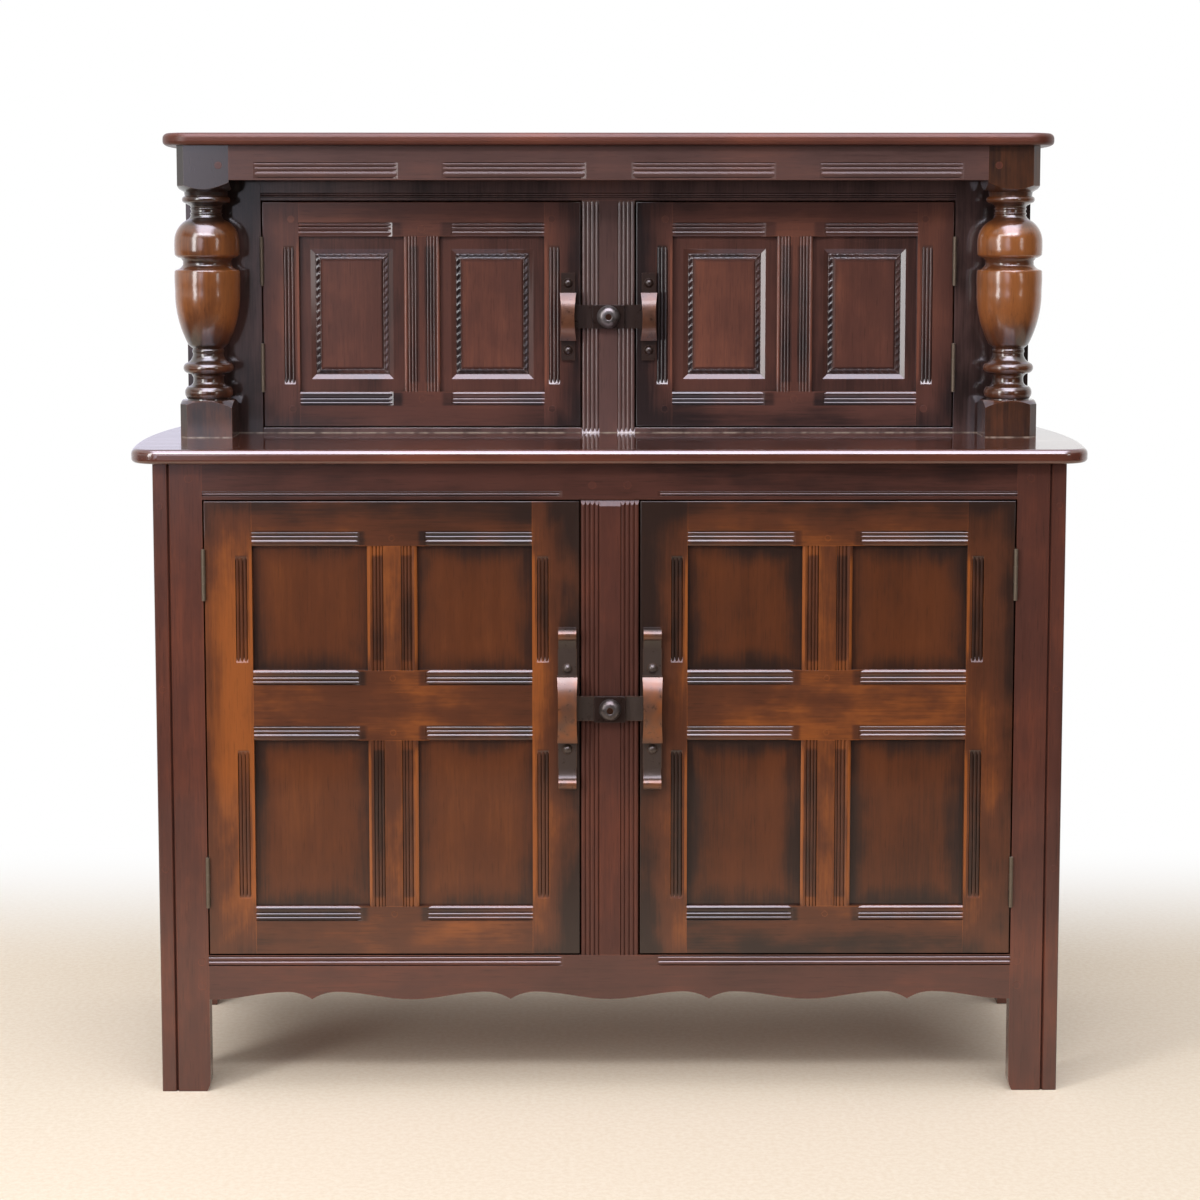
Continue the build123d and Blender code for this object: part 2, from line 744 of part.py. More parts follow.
# ---------------------------------------------------------------- upper cabinet
def cabinet_stile_piece():
    """Broad right-hand stile of the cabinet front."""
    stile = block(x_cabinet_stile, x_cabinet, y_cabinet, y_cabinet + frame_thick, z_middle, z_top)
    low = z_cabinet_rail + tenon_shoulder
    reach = x_cabinet_stile + tenon_long + tenon_play
    stile -= frame_mortise(x_cabinet_stile, reach, low, z_top - tenon_shoulder, y_cabinet)
    for z in upper_hinge_heights():
        stile -= hinge_housing(x_cabinet_stile, y_cabinet, z)
    return stile


def cabinet_top_rail():
    """Rail over the upper doors, with a scratched line along its lower edge."""
    x_end_rail = x_cabinet_stile
    rail = block(-x_end_rail, x_end_rail, y_cabinet, y_cabinet + frame_thick, z_cabinet_rail, z_top)
    reach = x_end_rail + tenon_long
    rail += frame_mortise(-reach, reach, z_cabinet_rail + tenon_shoulder, z_top - tenon_shoulder, y_cabinet)
    inner = x_cabinet_muntin - tenon_shoulder
    rail -= frame_mortise(-inner, inner, z_cabinet_rail, z_cabinet_rail + tenon_short + tenon_play, y_cabinet)
    z_line = z_cabinet_rail + cabinet_line_up
    rail -= reeds_up(-x_end_rail, x_end_rail, y_cabinet, z_line, line_reeds, (False, False))
    return rail


def cabinet_muntin():
    """Reeded upright between the upper doors."""
    half = x_cabinet_muntin
    muntin = block(-half, half, y_cabinet, y_cabinet + frame_thick, z_middle, z_cabinet_rail)
    muntin -= reeded_muntin(half, y_cabinet, z_middle, z_cabinet_rail, frame_reeds, stopped=True)
    inner = half - tenon_shoulder
    muntin += frame_mortise(-inner, inner, z_cabinet_rail, z_cabinet_rail + tenon_short, y_cabinet)
    return muntin - pivot_hole(y_cabinet, latch_upper_height)


def cabinet_box():
    """Right-hand sill under a door, right-hand end and the back of the cabinet."""
    y0 = y_cabinet + frame_thick
    sill = block(x_cabinet_muntin, x_cabinet_stile, y_cabinet, y0, z_middle, z_cabinet_strip)
    end = block(x_cabinet - cabinet_end_thick, x_cabinet, y0, y_back, z_middle, z_top)
    x_in = x_cabinet - cabinet_end_thick
    back = block(-x_in, x_in, y_back - back_thick, y_back, z_middle, z_top)
    return sill, end, back


# ---------------------------------------------------------------- hinges
def lower_hinge_heights():
    low = apron_top + door_end_gap + lower_hinge_in
    high = z_base_rail - door_end_gap - lower_hinge_in
    return low, high


def upper_hinge_heights():
    low = z_cabinet_strip + door_end_gap + upper_hinge_in
    high = z_cabinet_rail - door_end_gap - upper_hinge_in
    return low, high


def hinge_housing(x_edge, face, z):
    """Recess for a hinge leaf in the inner edge of a right-hand stile."""
    half = hinge_height / 2
    return block(
        x_edge, x_edge + hinge_leaf, face - cutter_over, face + hinge_leaf_deep,
        z - half, z + half,
    )


def hinge_leaf_piece(x_edge, into, x_axis, face, z, knuckles):
    """One leaf: a plate let into the edge at x_edge, and its knuckles round the pin.
    into is +1 when the wood lies at larger x."""
    half = hinge_height / 2
    y_axis = face - axis_out
    leaf = block(x_edge, x_edge + into * hinge_leaf, face, face + hinge_leaf_deep, z - half, z + half)
    for low, high in knuckles:
        middle = Pos(x_axis, y_axis, (low + high) / 2)
        leaf += middle * Cylinder(knuckle_radius, high - low)
        leaf += block(x_edge, x_edge + into * hinge_leaf, y_axis, face + cutter_over, low, high)
    return leaf - Pos(x_axis, y_axis, z) * Cylinder(hinge_pin_radius + fit_play, hinge_height + cutter_over)


def hinge(x_stile, face, z):
    """A butt hinge on the inner edge of a right-hand stile: frame leaf, door leaf and pin."""
    third = hinge_height / 3
    low, high = z - hinge_height / 2, z + hinge_height / 2
    x_axis = x_stile - door_side_gap / 2
    outer = [(low, low + third - knuckle_gap), (high - third + knuckle_gap, high)]
    frame_leaf = hinge_leaf_piece(x_stile, 1, x_axis, face, z, outer)
    x_door = x_stile - door_side_gap
    inner = [(low + third, high - third)]
    door_leaf = hinge_leaf_piece(x_door, -1, x_axis, face, z, inner)
    pin = Pos(x_axis, face - axis_out, z) * Cylinder(hinge_pin_radius, hinge_height)
    return frame_leaf, door_leaf, pin


# ---------------------------------------------------------------- doors
@dataclass
class Door:
    """A right-hand door: its frame, seen from the front, with the hinges at the larger x."""
    name: str
    lock: float         # x of the lock edge
    hinge: float        # x of the hinge edge
    bottom: float
    top: float
    frame: float        # y of the frame face around it
    stile: float
    muntin: float
    rails: list         # (low, high) from the bottom up
    muntin_reeds: tuple
    reed_stop: float
    peg_radius: float
    corner_pegs: bool
    fielded: bool
    hinge_heights: tuple
    handle: tuple       # (in from the lock edge, half length, grip half, shoulder, reach)
    handle_widths: tuple
    stud_from_grip: float
    scrolls: bool
    latch: float        # height of the latch
    turn_half: float    # half width of the turning plate

    @property
    def face(self):
        return self.frame - door_proud

    @property
    def rear(self):
        return self.face + door_thick

    @property
    def middle(self):
        return (self.lock + self.hinge) / 2

    @property
    def columns(self):
        """x ranges of the two openings."""
        half = self.muntin / 2
        inner = (self.lock + self.stile, self.middle - half)
        outer = (self.middle + half, self.hinge - self.stile)
        return [inner, outer]

    @property
    def rows(self):
        """z ranges of the openings, between one rail and the next."""
        return [(below[1], above[0]) for below, above in zip(self.rails, self.rails[1:])]


def door_groove(door, x0, x1, z0, z1):
    """Groove or tenon: both are as thick and lie in the same plane."""
    y0 = door.face + tenon_front
    return block(x0, x1, y0, y0 + groove_width, z0, z1)


def rail_tenon(door, rail, reach):
    """Both tenons of a rail; reach is how far they go into the stiles."""
    x0 = door.lock + door.stile
    x1 = door.hinge - door.stile
    return door_groove(door, x0 - reach, x1 + reach, rail[0] + tenon_shoulder, rail[1] - tenon_shoulder)


def muntin_tenon(door, row, reach):
    half = door.muntin / 2 - tenon_shoulder
    return door_groove(door, door.middle - half, door.middle + half, row[0] - reach, row[1] + reach)


def door_pegs(door):
    """x and z of every peg: at the ends of each muntin, and on some doors at the corners."""
    spots = []
    for low, high in door.rows:
        spots += [(door.middle, low - peg_from_edge), (door.middle, high + peg_from_edge)]
    if door.corner_pegs:
        for x in (door.lock + door.stile - peg_from_edge, door.hinge - door.stile + peg_from_edge):
            spots += [(x, sum(rail) / 2) for rail in door.rails]
    return spots


def ease_arrises(door, piece):
    """Round the front edges of a piece that lie on the outline of the door."""
    edges = []
    for edge in piece.faces().sort_by(Axis.Y)[0].edges():
        spot = edge.center()
        upright = min(abs(spot.X - door.lock), abs(spot.X - door.hinge))
        level = min(abs(spot.Z - door.bottom), abs(spot.Z - door.top))
        if min(upright, level) < door_arris:
            edges.append(edge)
    return fillet(edges, door_arris) if edges else piece


def peg_holes(door, piece):
    for x, z in door_pegs(door):
        hole = rod(x, door.face - cutter_over, door.face + peg_length, z, door.peg_radius + fit_play)
        piece -= hole
    return piece


def door_stile(door, at_hinge):
    """One upright of the door frame."""
    if at_hinge:
        x0, x1 = door.hinge - door.stile, door.hinge
        groove = (x0, x0 + groove_depth)
    else:
        x0, x1 = door.lock, door.lock + door.stile
        groove = (x1 - groove_depth, x1)
    stile = ease_arrises(door, block(x0, x1, door.face, door.rear, door.bottom, door.top))
    low, high = door.rows[0][0] - groove_depth, door.rows[-1][1] + groove_depth
    stile -= door_groove(door, *groove, low, high)
    for rail in door.rails:
        stile -= rail_tenon(door, rail, tenon_long + tenon_play)
    for low, high in door.rows:
        z0, z1 = low + stile_reed_stop_bottom, high - stile_reed_stop_top
        if at_hinge:
            run = reeds_right(x0 + stile_reed_inset, door.face, z0, z1, stile_reeds, (True, True), False)
        else:
            run = reeds_left(x1 - stile_reed_inset, door.face, z0, z1, stile_reeds, (True, True), False)
        stile -= run
    if at_hinge:
        for z in door.hinge_heights:
            half = hinge_height / 2
            reach = door.frame + hinge_leaf_deep
            stile -= block(x1 - hinge_leaf, x1, door.face - cutter_over, reach, z - half, z + half)
    else:
        for x, z in stud_spots(door):
            stile -= rod(x, door.face, door.face + stud_deep + tenon_play, z, stud_shank + fit_play)
    return peg_holes(door, stile)


def door_rail(door, rail):
    """One rail, with its tenons, grooves, mortises and stopped reeds."""
    x0, x1 = door.lock + door.stile, door.hinge - door.stile
    piece = ease_arrises(door, block(x0, x1, door.face, door.rear, *rail))
    piece += rail_tenon(door, rail, tenon_long)
    (a0, a1), (b0, b1) = door.columns
    near = (a0, a1 - door.reed_stop, (False, True))
    far = (b0 + door.reed_stop, b1, (True, False))
    for row in door.rows:
        if row[1] == rail[0]:
            piece -= door_groove(door, x0, x1, rail[0], rail[0] + groove_depth)
            for start, end, stops in (near, far):
                piece -= reeds_up(start, end, door.face, rail[0], rail_reeds, stops)
        if row[0] == rail[1]:
            piece -= door_groove(door, x0, x1, rail[1] - groove_depth, rail[1])
            for start, end, stops in (near, far):
                piece -= reeds_down(start, end, door.face, rail[1], rail_reeds, stops)
        piece -= muntin_tenon(door, row, tenon_short + tenon_play)
    return peg_holes(door, piece)


def door_muntin(door, row):
    """A short upright between the panels, reeded along both edges."""
    half = door.muntin / 2
    piece = block(-half, half, door.face, door.rear, *row)
    piece -= reeded_muntin(half, door.face, *row, door.muntin_reeds)
    piece = Pos(door.middle, 0, 0) * piece
    for x0, x1 in (
        (door.middle - half, door.middle - half + groove_depth),
        (door.middle + half - groove_depth, door.middle + half),
    ):
        piece -= door_groove(door, x0, x1, *row)
    piece += muntin_tenon(door, row, tenon_short)
    return peg_holes(door, piece)


def stepped(x, z, near, far):
    """A four-sided block between two upright rectangles, each (width, height, y)."""
    faces = []
    for width, height, y in (near, far):
        plane = Plane(origin=(x, y, z), x_dir=(1, 0, 0), z_dir=(0, -1, 0))
        faces.append(plane * Rectangle(width, height))
    return loft(faces)


def fielded_front(x, z, y):
    """Valley sunk in the face of an upper panel at y, and the field that rises inside it."""
    low = y + valley_depth
    rim = (valley_width, valley_height)
    floor = tuple(size - 2 * valley_slope for size in rim)
    foot = tuple(size - 2 * valley_floor for size in floor)
    flat = tuple(size - 2 * field_slope for size in foot)
    valley = stepped(x, z, (*rim, y), (*floor, low))
    return valley, stepped(x, z, (*foot, low), (*flat, y - field_rise))


def door_panel(door, column, row):
    """A panel, loose in its grooves; those of the upper doors are fielded."""
    tongue = groove_depth - panel_play
    y0 = door.face + tenon_front + (groove_width - panel_thick) / 2
    (x0, x1), (z0, z1) = column, row
    panel = block(x0 - tongue, x1 + tongue, y0, y0 + panel_thick, z0 - tongue, z1 + tongue)
    if door.fielded:
        clear = field_body_clear
        panel += block(x0 + clear, x1 - clear, y0, y0 + field_body, z0 + clear, z1 - clear)
        valley, field = fielded_front(sum(column) / 2, sum(row) / 2, y0)
        panel = panel - valley + field
    return panel


def stud_spots(door):
    """Centres of the two studs that hold the handle."""
    x = door.lock + door.handle[0]
    away = door.handle[2] + door.stud_from_grip
    return [(x, door.latch - away), (x, door.latch + away)]


def handle_profile(door):
    """Side view of the handle strap as (out from the door, height from its middle)."""
    half, grip, shoulder, reach = door.handle[1:]
    thick = handle_thick
    inner = grip - thick
    outline = [
        Polyline((0, half), (thick, half), (thick, grip), (shoulder, grip)),
        ThreePointArc((shoulder, grip), (reach, 0), (shoulder, -grip)),
        Polyline((shoulder, -grip), (thick, -grip), (thick, -half), (0, -half), (0, -inner)),
        Line((0, -inner), (shoulder - thick, -inner)),
        ThreePointArc((shoulder - thick, -inner), (reach - thick, 0), (shoulder - thick, inner)),
        Polyline((shoulder - thick, inner), (0, inner), (0, half)),
    ]
    return make_face(outline)


def scroll_profile(door, side):
    """Curled end of a lower handle: the strap bends off the door into a roll."""
    half = door.handle[1]
    start, end = side * half, side * (half + scroll_rise)
    bend = side * (half + scroll_rise / 2)
    thick = handle_thick
    out = scroll_out - thick / 2
    strap = make_face(
        [
            Line((0, start), (thick, start)),
            ThreePointArc((thick, start), (thick + out / 4, bend), (thick + out, end)),
            Line((thick + out, end), (out, end)),
            ThreePointArc((out, end), (out / 4, bend), (0, start)),
        ]
    )
    return [strap, Pos(scroll_out, end) * Circle(scroll_radius)]


def handle_front(door, x):
    """Front view of the strap as a block through it: plates, wider shoulders and a waisted grip."""
    plate, shoulder, waist = (width / 2 for width in door.handle_widths)
    half, grip = door.handle[1:3]
    right = ThreePointArc((shoulder, -grip), (waist, 0), (shoulder, grip))
    left = ThreePointArc((-shoulder, grip), (-waist, 0), (-shoulder, -grip))
    corners = [(shoulder, grip), (plate, grip), (plate, half)]
    upper = Polyline(*corners, *[(-x, z) for x, z in corners[::-1]])
    lower = Polyline(*[(-x, -z) for x, z in corners], *[(x, -z) for x, z in corners[::-1]])
    plane = Plane(origin=(x, door.face, door.latch), x_dir=(1, 0, 0), z_dir=(0, -1, 0))
    return extrude(plane * make_face([right, upper, left, lower]), 2 * door.handle[4], both=True)


def handle(door):
    """Strap handle, its two studs and the tongue that laps over the muntin."""
    x = door.lock + door.handle[0]
    widest = max(door.handle_widths)
    plane = Plane(origin=(x, door.face, door.latch), x_dir=(0, -1, 0), z_dir=(-1, 0, 0))
    strap = extrude(plane * handle_profile(door), widest, both=True) & handle_front(door, x)
    if door.scrolls:
        for side in (-1, 1):
            for face in scroll_profile(door, side):
                strap += extrude(plane * face, scroll_width / 2, both=True)
    studs = []
    for sx, sz in stud_spots(door):
        strap -= rod(sx, door.face - 2 * handle_thick, door.face + cutter_over, sz, stud_shank + fit_play)
        studs.append(stud(sx, door.face, sz))
    x0 = door.turn_half + tongue_clear
    tongue = block(
        x0, x + door.handle_widths[2] / 2, door.face - tongue_thick, door.face,
        door.latch - tongue_height / 2, door.latch + tongue_height / 2,
    )
    return [strap, tongue, *studs]


def stud(x, face, z):
    """Domed stud on the strap, with its shank in the door."""
    seat = handle_thick
    outline = [
        Line((0, -stud_deep), (stud_shank, -stud_deep)),
        Line((stud_shank, -stud_deep), (stud_shank, seat)),
        Line((stud_shank, seat), (stud_radius, seat)),
        TangentArc((0, seat + stud_rise), (stud_radius, seat), tangent=(1, 0)),
        Line((0, seat + stud_rise), (0, -stud_deep)),
    ]
    return turned_on_face(outline, x, face, z)


def turned_on_face(outline, x, face, z):
    """Revolve a half outline of (radius, out from the face) about an axis through the face."""
    solid = revolve(Plane.XZ * make_face(outline), Axis.Z)
    return Pos(x, face, z) * Rot(90, 0, 0) * solid


def door_nodes(door):
    """Write both doors of a pair; the left one is the mirror image."""
    hinges = [hinge(door.hinge + door_side_gap, door.frame, z) for z in door.hinge_heights]
    groups = {
        "stiles": [door_stile(door, False), door_stile(door, True)],
        "rails": [door_rail(door, rail) for rail in door.rails],
        "muntins": [door_muntin(door, row) for row in door.rows],
        "panels": [door_panel(door, column, row) for row in door.rows for column in door.columns],
        "pegs": [peg(x, door.face, z, door.peg_radius, peg_length) for x, z in door_pegs(door)],
        "handle": handle(door),
        "hinge_leaves": [parts[1] for parts in hinges],
    }
    for part, pieces in groups.items():
        write(f"{door.name}_right_door_{part}", *pieces)
        write(f"{door.name}_left_door_{part}", *[mirrored(piece) for piece in pieces])
    return hinges


def peg(x, face, z, radius, length):
    """A peg, slightly proud of the face, in its blind hole."""
    return rod(x, face - peg_proud, face + length, z, radius)


# ---------------------------------------------------------------- turn latches
def pivot_hole(face, z):
    return rod(0, face - cutter_over, face + pivot_length + tenon_play, z, pivot_radius + fit_play)


def turn(face, z, size, boss_radius):
    """Plate, the washer that holds it clear of the tongues, the domed boss and the pivot."""
    plate_back = face - door_proud - tongue_thick - turn_clear
    plate_front = plate_back - turn_plate
    hole = rod(0, plate_front - cutter_over, face, z, pivot_radius + fit_play)
    plate = block(-size[0] / 2, size[0] / 2, plate_front, plate_back, z - size[1] / 2, z + size[1] / 2)
    plate -= hole
    washer = rod(0, plate_back, face - turn_clear, z, washer_radius) - hole
    outline = [
        Line((0, 0), (boss_radius, 0)),
        Line((boss_radius, 0), (boss_radius, boss_edge)),
        SagittaArc((boss_radius, boss_edge), (boss_flat, boss_rise), -boss_rise / 5),
        Line((boss_flat, boss_rise), (0, boss_rise)),
        Line((0, boss_rise), (0, 0)),
    ]
    boss = turned_on_face(outline, 0, plate_front, z)
    boss -= rod(0, plate_front - boss_rise, plate_front + cutter_over, z, pivot_radius + fit_play)
    recess = plate_front - boss_rise + pivot_recess
    boss -= rod(0, plate_front - boss_rise - cutter_over, recess, z, pivot_head_radius + turn_clear)
    return [plate, washer, boss], pivot(face, z, recess - turn_clear)


def pivot(face, z, seat):
    """Screw on which the latch turns; its round head lies in the boss."""
    screw = rod(0, seat, face + pivot_length, z, pivot_radius)
    return screw + rod(0, seat - pivot_head_rise, seat, z, pivot_head_radius)


# ---------------------------------------------------------------- the pieces, node by node
def make_doors():
    z0, z1 = apron_top + door_end_gap, z_base_rail - door_end_gap
    low_rail = (z0, z0 + lower_rail_bottom)
    high_rail = (z1 - lower_rail_top, z1)
    mid_high = high_rail[0] - lower_opening_top
    lower = Door(
        name="lower", lock=x_muntin + door_side_gap, hinge=x_leg - door_side_gap,
        bottom=z0, top=z1, frame=y_front, stile=lower_stile, muntin=lower_muntin,
        rails=[low_rail, (mid_high - lower_rail_middle, mid_high), high_rail],
        muntin_reeds=lower_muntin_reeds, reed_stop=rail_reed_stop,
        peg_radius=lower_peg_radius, corner_pegs=False, fielded=False,
        hinge_heights=lower_hinge_heights(),
        handle=(handle_lower_in, handle_lower_half, grip_lower_half,
                grip_lower_shoulder, handle_lower_reach),
        handle_widths=handle_lower_widths,
        stud_from_grip=stud_lower_from_grip, scrolls=True,
        latch=latch_lower_height, turn_half=turn_lower[0] / 2,
    )
    z0, z1 = z_cabinet_strip + door_end_gap, z_cabinet_rail - door_end_gap
    upper = Door(
        name="upper", lock=x_cabinet_muntin + door_side_gap,
        hinge=x_cabinet_stile - door_side_gap,
        bottom=z0, top=z1, frame=y_cabinet, stile=upper_stile, muntin=upper_muntin,
        rails=[(z0, z0 + upper_rail_bottom), (z1 - upper_rail_top, z1)],
        muntin_reeds=upper_muntin_reeds, reed_stop=upper_rail_reed_stop,
        peg_radius=upper_peg_radius, corner_pegs=True, fielded=True,
        hinge_heights=upper_hinge_heights(),
        handle=(handle_upper_in, handle_upper_half, grip_upper_half,
                grip_upper_shoulder, handle_upper_reach),
        handle_widths=handle_upper_widths,
        stud_from_grip=stud_upper_from_grip, scrolls=False,
        latch=latch_upper_height, turn_half=turn_upper[0] / 2,
    )
    return lower, upper


def write_base():
    write_pair("front_leg", front_leg())
    write("base_top_rail", base_top_rail())
    write("apron_rail", apron_rail())
    write("base_muntin", base_muntin())
    stiles, rails, panel = end_stiles(), end_rails(), end_panel()
    write("end_stiles_right", *stiles)
    write("end_stiles_left", *[mirrored(piece) for piece in stiles])
    write("end_rails_right", *rails)
    write("end_rails_left", *[mirrored(piece) for piece in rails])
    write("end_panels", panel, mirrored(panel))
    floor, back, shelf, bearer = base_inside()
    write("base_floor", floor)
    write("base_back", back)
    write("base_shelf", shelf)
    write("shelf_bearers", bearer, mirrored(bearer))
    write("middle_board", middle_board())


def write_cabinet():
    write("top_board", top_board())
    write_pair("post", post())
    write("frieze_rail", frieze_rail())
    write_pair("cabinet_stile", cabinet_stile_piece())
    write("cabinet_top_rail", cabinet_top_rail())
    write("cabinet_muntin", cabinet_muntin())
    sill, end, back = cabinet_box()
    write("cabinet_sills", sill, mirrored(sill))
    write("cabinet_ends", end, mirrored(end))
    write("cabinet_back", back)


def write_frame_pegs():
    """Every peg and pellet of the fixed frames."""
    pieces = []
    for x, z in leg_pegs():
        pieces.append(peg(x, y_front, z, upper_peg_radius, peg_length))
    for x, z in pellet_spots():
        pieces.append(peg(x, y_front, z, pellet_radius, pellet_length))
    peg_x, peg_z = post_peg_spot()
    pieces.append(peg(peg_x, y_post, peg_z, upper_peg_radius, peg_length))
    pieces += [mirrored(piece) for piece in pieces]
    pieces += [peg(x, y_front, z, upper_peg_radius, peg_length) for x, z in top_muntin_pegs()]
    write("frame_pegs", *pieces)


def write_ironwork(hinges):
    leaves = [parts[0] for parts in hinges]
    pins = [parts[2] for parts in hinges]
    write("hinge_frame_leaves", *leaves, *[mirrored(leaf) for leaf in leaves])
    write("hinge_pins", *pins, *[mirrored(pin) for pin in pins])
    lower, lower_pivot = turn(y_front, latch_lower_height, turn_lower, boss_lower_radius)
    upper, upper_pivot = turn(y_cabinet, latch_upper_height, turn_upper, boss_upper_radius)
    write("lower_latch_turn", *lower)
    write("upper_latch_turn", *upper)
    write("latch_pivots", lower_pivot, upper_pivot)


os.makedirs("parts", exist_ok=True)
write_base()
write_cabinet()
write_frame_pegs()
all_hinges = []
for pair in make_doors():
    all_hinges += door_nodes(pair)
write_ironwork(all_hinges)
print("nodes", len([name for name in os.listdir("parts") if name.endswith(".step")]))
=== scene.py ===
# %% [markdown]
# # A joined oak court cupboard
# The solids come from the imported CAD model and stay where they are. This lesson gives them what a
# polisher gives the real cupboard: dark stain, grain, places rubbed back to golden brown, wax and
# a soft gloss. Lengths are in metres, and every object shares the frame of the CAD model.

# %% Load the model
import math

import bpy
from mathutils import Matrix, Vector


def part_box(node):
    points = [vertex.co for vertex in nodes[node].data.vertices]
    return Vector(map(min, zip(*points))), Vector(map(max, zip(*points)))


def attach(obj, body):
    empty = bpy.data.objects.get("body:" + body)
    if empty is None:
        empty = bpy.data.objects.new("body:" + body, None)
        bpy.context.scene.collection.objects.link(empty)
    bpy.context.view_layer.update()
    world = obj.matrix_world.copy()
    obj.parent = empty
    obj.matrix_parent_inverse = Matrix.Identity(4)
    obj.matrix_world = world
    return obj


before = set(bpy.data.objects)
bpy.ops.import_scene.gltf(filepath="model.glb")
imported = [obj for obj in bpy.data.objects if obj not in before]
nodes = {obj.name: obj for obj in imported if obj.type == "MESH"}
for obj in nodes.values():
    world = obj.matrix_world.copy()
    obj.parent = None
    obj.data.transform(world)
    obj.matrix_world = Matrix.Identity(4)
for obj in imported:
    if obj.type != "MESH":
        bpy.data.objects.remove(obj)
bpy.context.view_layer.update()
mm = 0.001

# %% [markdown]
# ## Where the viewer stands
# A tall piece of furniture is looked at from a few paces away and slightly from above, so that the
# top of the middle board shows. The small shift keeps the uprights close to parallel.

# %% Camera
camera_spot = Vector((-27.7 * mm, -3397.5 * mm, 1100.0 * mm))
camera_yaw = math.radians(0.274)
camera_pitch = math.radians(5.60)
camera_lens = 76.93
camera_sensor = 36.0
camera_shift = -0.10
camera = bpy.data.objects.new("camera", bpy.data.cameras.new("camera"))
bpy.context.scene.collection.objects.link(camera)
camera.location = camera_spot
camera.rotation_euler = (math.radians(90) - camera_pitch, 0, -camera_yaw)
camera.data.lens = camera_lens
camera.data.sensor_width = camera_sensor
camera.data.shift_y = camera_shift
bpy.context.scene.camera = camera
bpy.context.scene.view_settings.view_transform = "Standard"
print("camera at", tuple(round(c, 3) for c in camera_spot))

# %% [markdown]
# ## Building shader trees in code
# A material is a tree of nodes. Short helpers keep the code close to how the tree is read: they
# place a node, do arithmetic, make a smooth step and mix two colours.


# %% Helpers for shader trees
WHITE = (1.0, 1.0, 1.0, 1.0)
BLACK = (0.0, 0.0, 0.0, 1.0)
MIX_SHARE, MIX_FIRST, MIX_SECOND = 0, 6, 7
MIX_RESULT = 2


def feed(tree, socket, value):
    """Fill a socket with a plain value, or link another socket to it."""
    if isinstance(value, bpy.types.NodeSocket):
        tree.links.new(value, socket)
    else:
        socket.default_value = value


def place(tree, kind, inputs=None, **settings):
    """A shader node with its settings and its inputs."""
    made = tree.nodes.new("ShaderNode" + kind)
    for name, value in settings.items():
        setattr(made, name, value)
    for socket, value in (inputs or {}).items():
        feed(tree, made.inputs[socket], value)
    return made


def sum_up(tree, operation, *values, clamp=False):
    """The result of a Math node."""
    made = place(tree, "Math", operation=operation, use_clamp=clamp)
    for socket, value in zip(made.inputs, values):
        feed(tree, socket, value)
    return made.outputs[0]


def opposite(tree, value):
    """1 where the value is 0, and 0 where it is 1."""
    return sum_up(tree, "SUBTRACT", 1.0, value)


def vector_sum(tree, operation, *values):
    """The result of a Vector Math node."""
    made = place(tree, "VectorMath", operation=operation)
    for socket, value in zip(made.inputs, values):
        feed(tree, socket, value)
    return made.outputs["Value" if operation in ("LENGTH", "DOT_PRODUCT") else "Vector"]


def parts_of(tree, vector):
    """The X, Y and Z of a vector."""
    return place(tree, "SeparateXYZ", {0: vector}).outputs


def step(tree, value, low, high, to_low=0.0, to_high=1.0):
    """A smooth step of a value from to_low to to_high."""
    made = place(tree, "MapRange", interpolation_type="SMOOTHSTEP")
    for socket, given in zip(made.inputs, (value, low, high, to_low, to_high)):
        feed(tree, socket, given)
    return made.outputs["Result"]


def mixed(tree, share, first, second):
    """Two colours mixed by a share."""
    made = place(tree, "Mix", data_type="RGBA")
    for index, value in ((MIX_SHARE, share), (MIX_FIRST, first), (MIX_SECOND, second)):
        feed(tree, made.inputs[index], value)
    return made.outputs[MIX_RESULT]


def noise(tree, vector, scale, detail=3.0, roughness=0.55):
    """Noise from 0 to 1."""
    inputs = {"Vector": vector, "Scale": scale, "Detail": detail, "Roughness": roughness}
    return place(tree, "TexNoise", inputs).outputs["Fac"]


def colour(red, green, blue):
    """A colour as it looks on a screen, 0 to 255, turned into linear light by a screen's curve."""
    shares = (c / 255 for c in (red, green, blue))
    return tuple(((c + 0.055) / 1.055) ** 2.4 if c > 0.04 else c / 12.92 for c in shares) + (1.0,)


print("helpers ready")

# %% [markdown]
# ## Groups that several materials share
# Grain, rubbed stain and dust turn up in more than one material. A node group is built once and
# then placed in each material with its own values, as a workshop keeps one recipe for each finish.


# %% Helpers for node groups
def new_group(name, inputs, outputs):
    """A node group with named sockets, and its two ends."""
    group = bpy.data.node_groups.new(name, "ShaderNodeTree")
    for label, kind, value in inputs:
        socket = group.interface.new_socket(label, in_out="INPUT", socket_type="NodeSocket" + kind)
        if value is not None:
            socket.default_value = value
    for label, kind in outputs:
        group.interface.new_socket(label, in_out="OUTPUT", socket_type="NodeSocket" + kind)
    given = group.nodes.new("NodeGroupInput").outputs
    result = group.nodes.new("NodeGroupOutput").inputs
    return group, given, result


def use(tree, group, inputs):
    """A group placed in a tree with its own values."""
    made = tree.nodes.new("ShaderNodeGroup")
    made.node_tree = group
    for socket, value in inputs.items():
        feed(tree, made.inputs[socket], value)
    return made.outputs


print("group helpers ready")

# %% [markdown]
# ## Oak grain
# Oak is a bundle of long fibres with open pores. Seen on a sawn face it has soft streaks along the
# board and thousands of short dark flecks where a pore is cut open. Noise that is squeezed along
# the board gives both: wide and fine streaks from slow noise, flecks from the peaks of fast noise.
# Slow noise also gives the clouds of a hand-rubbed finish. The shift moves them from one board to
# the next, so that no cloud runs on across a joint.

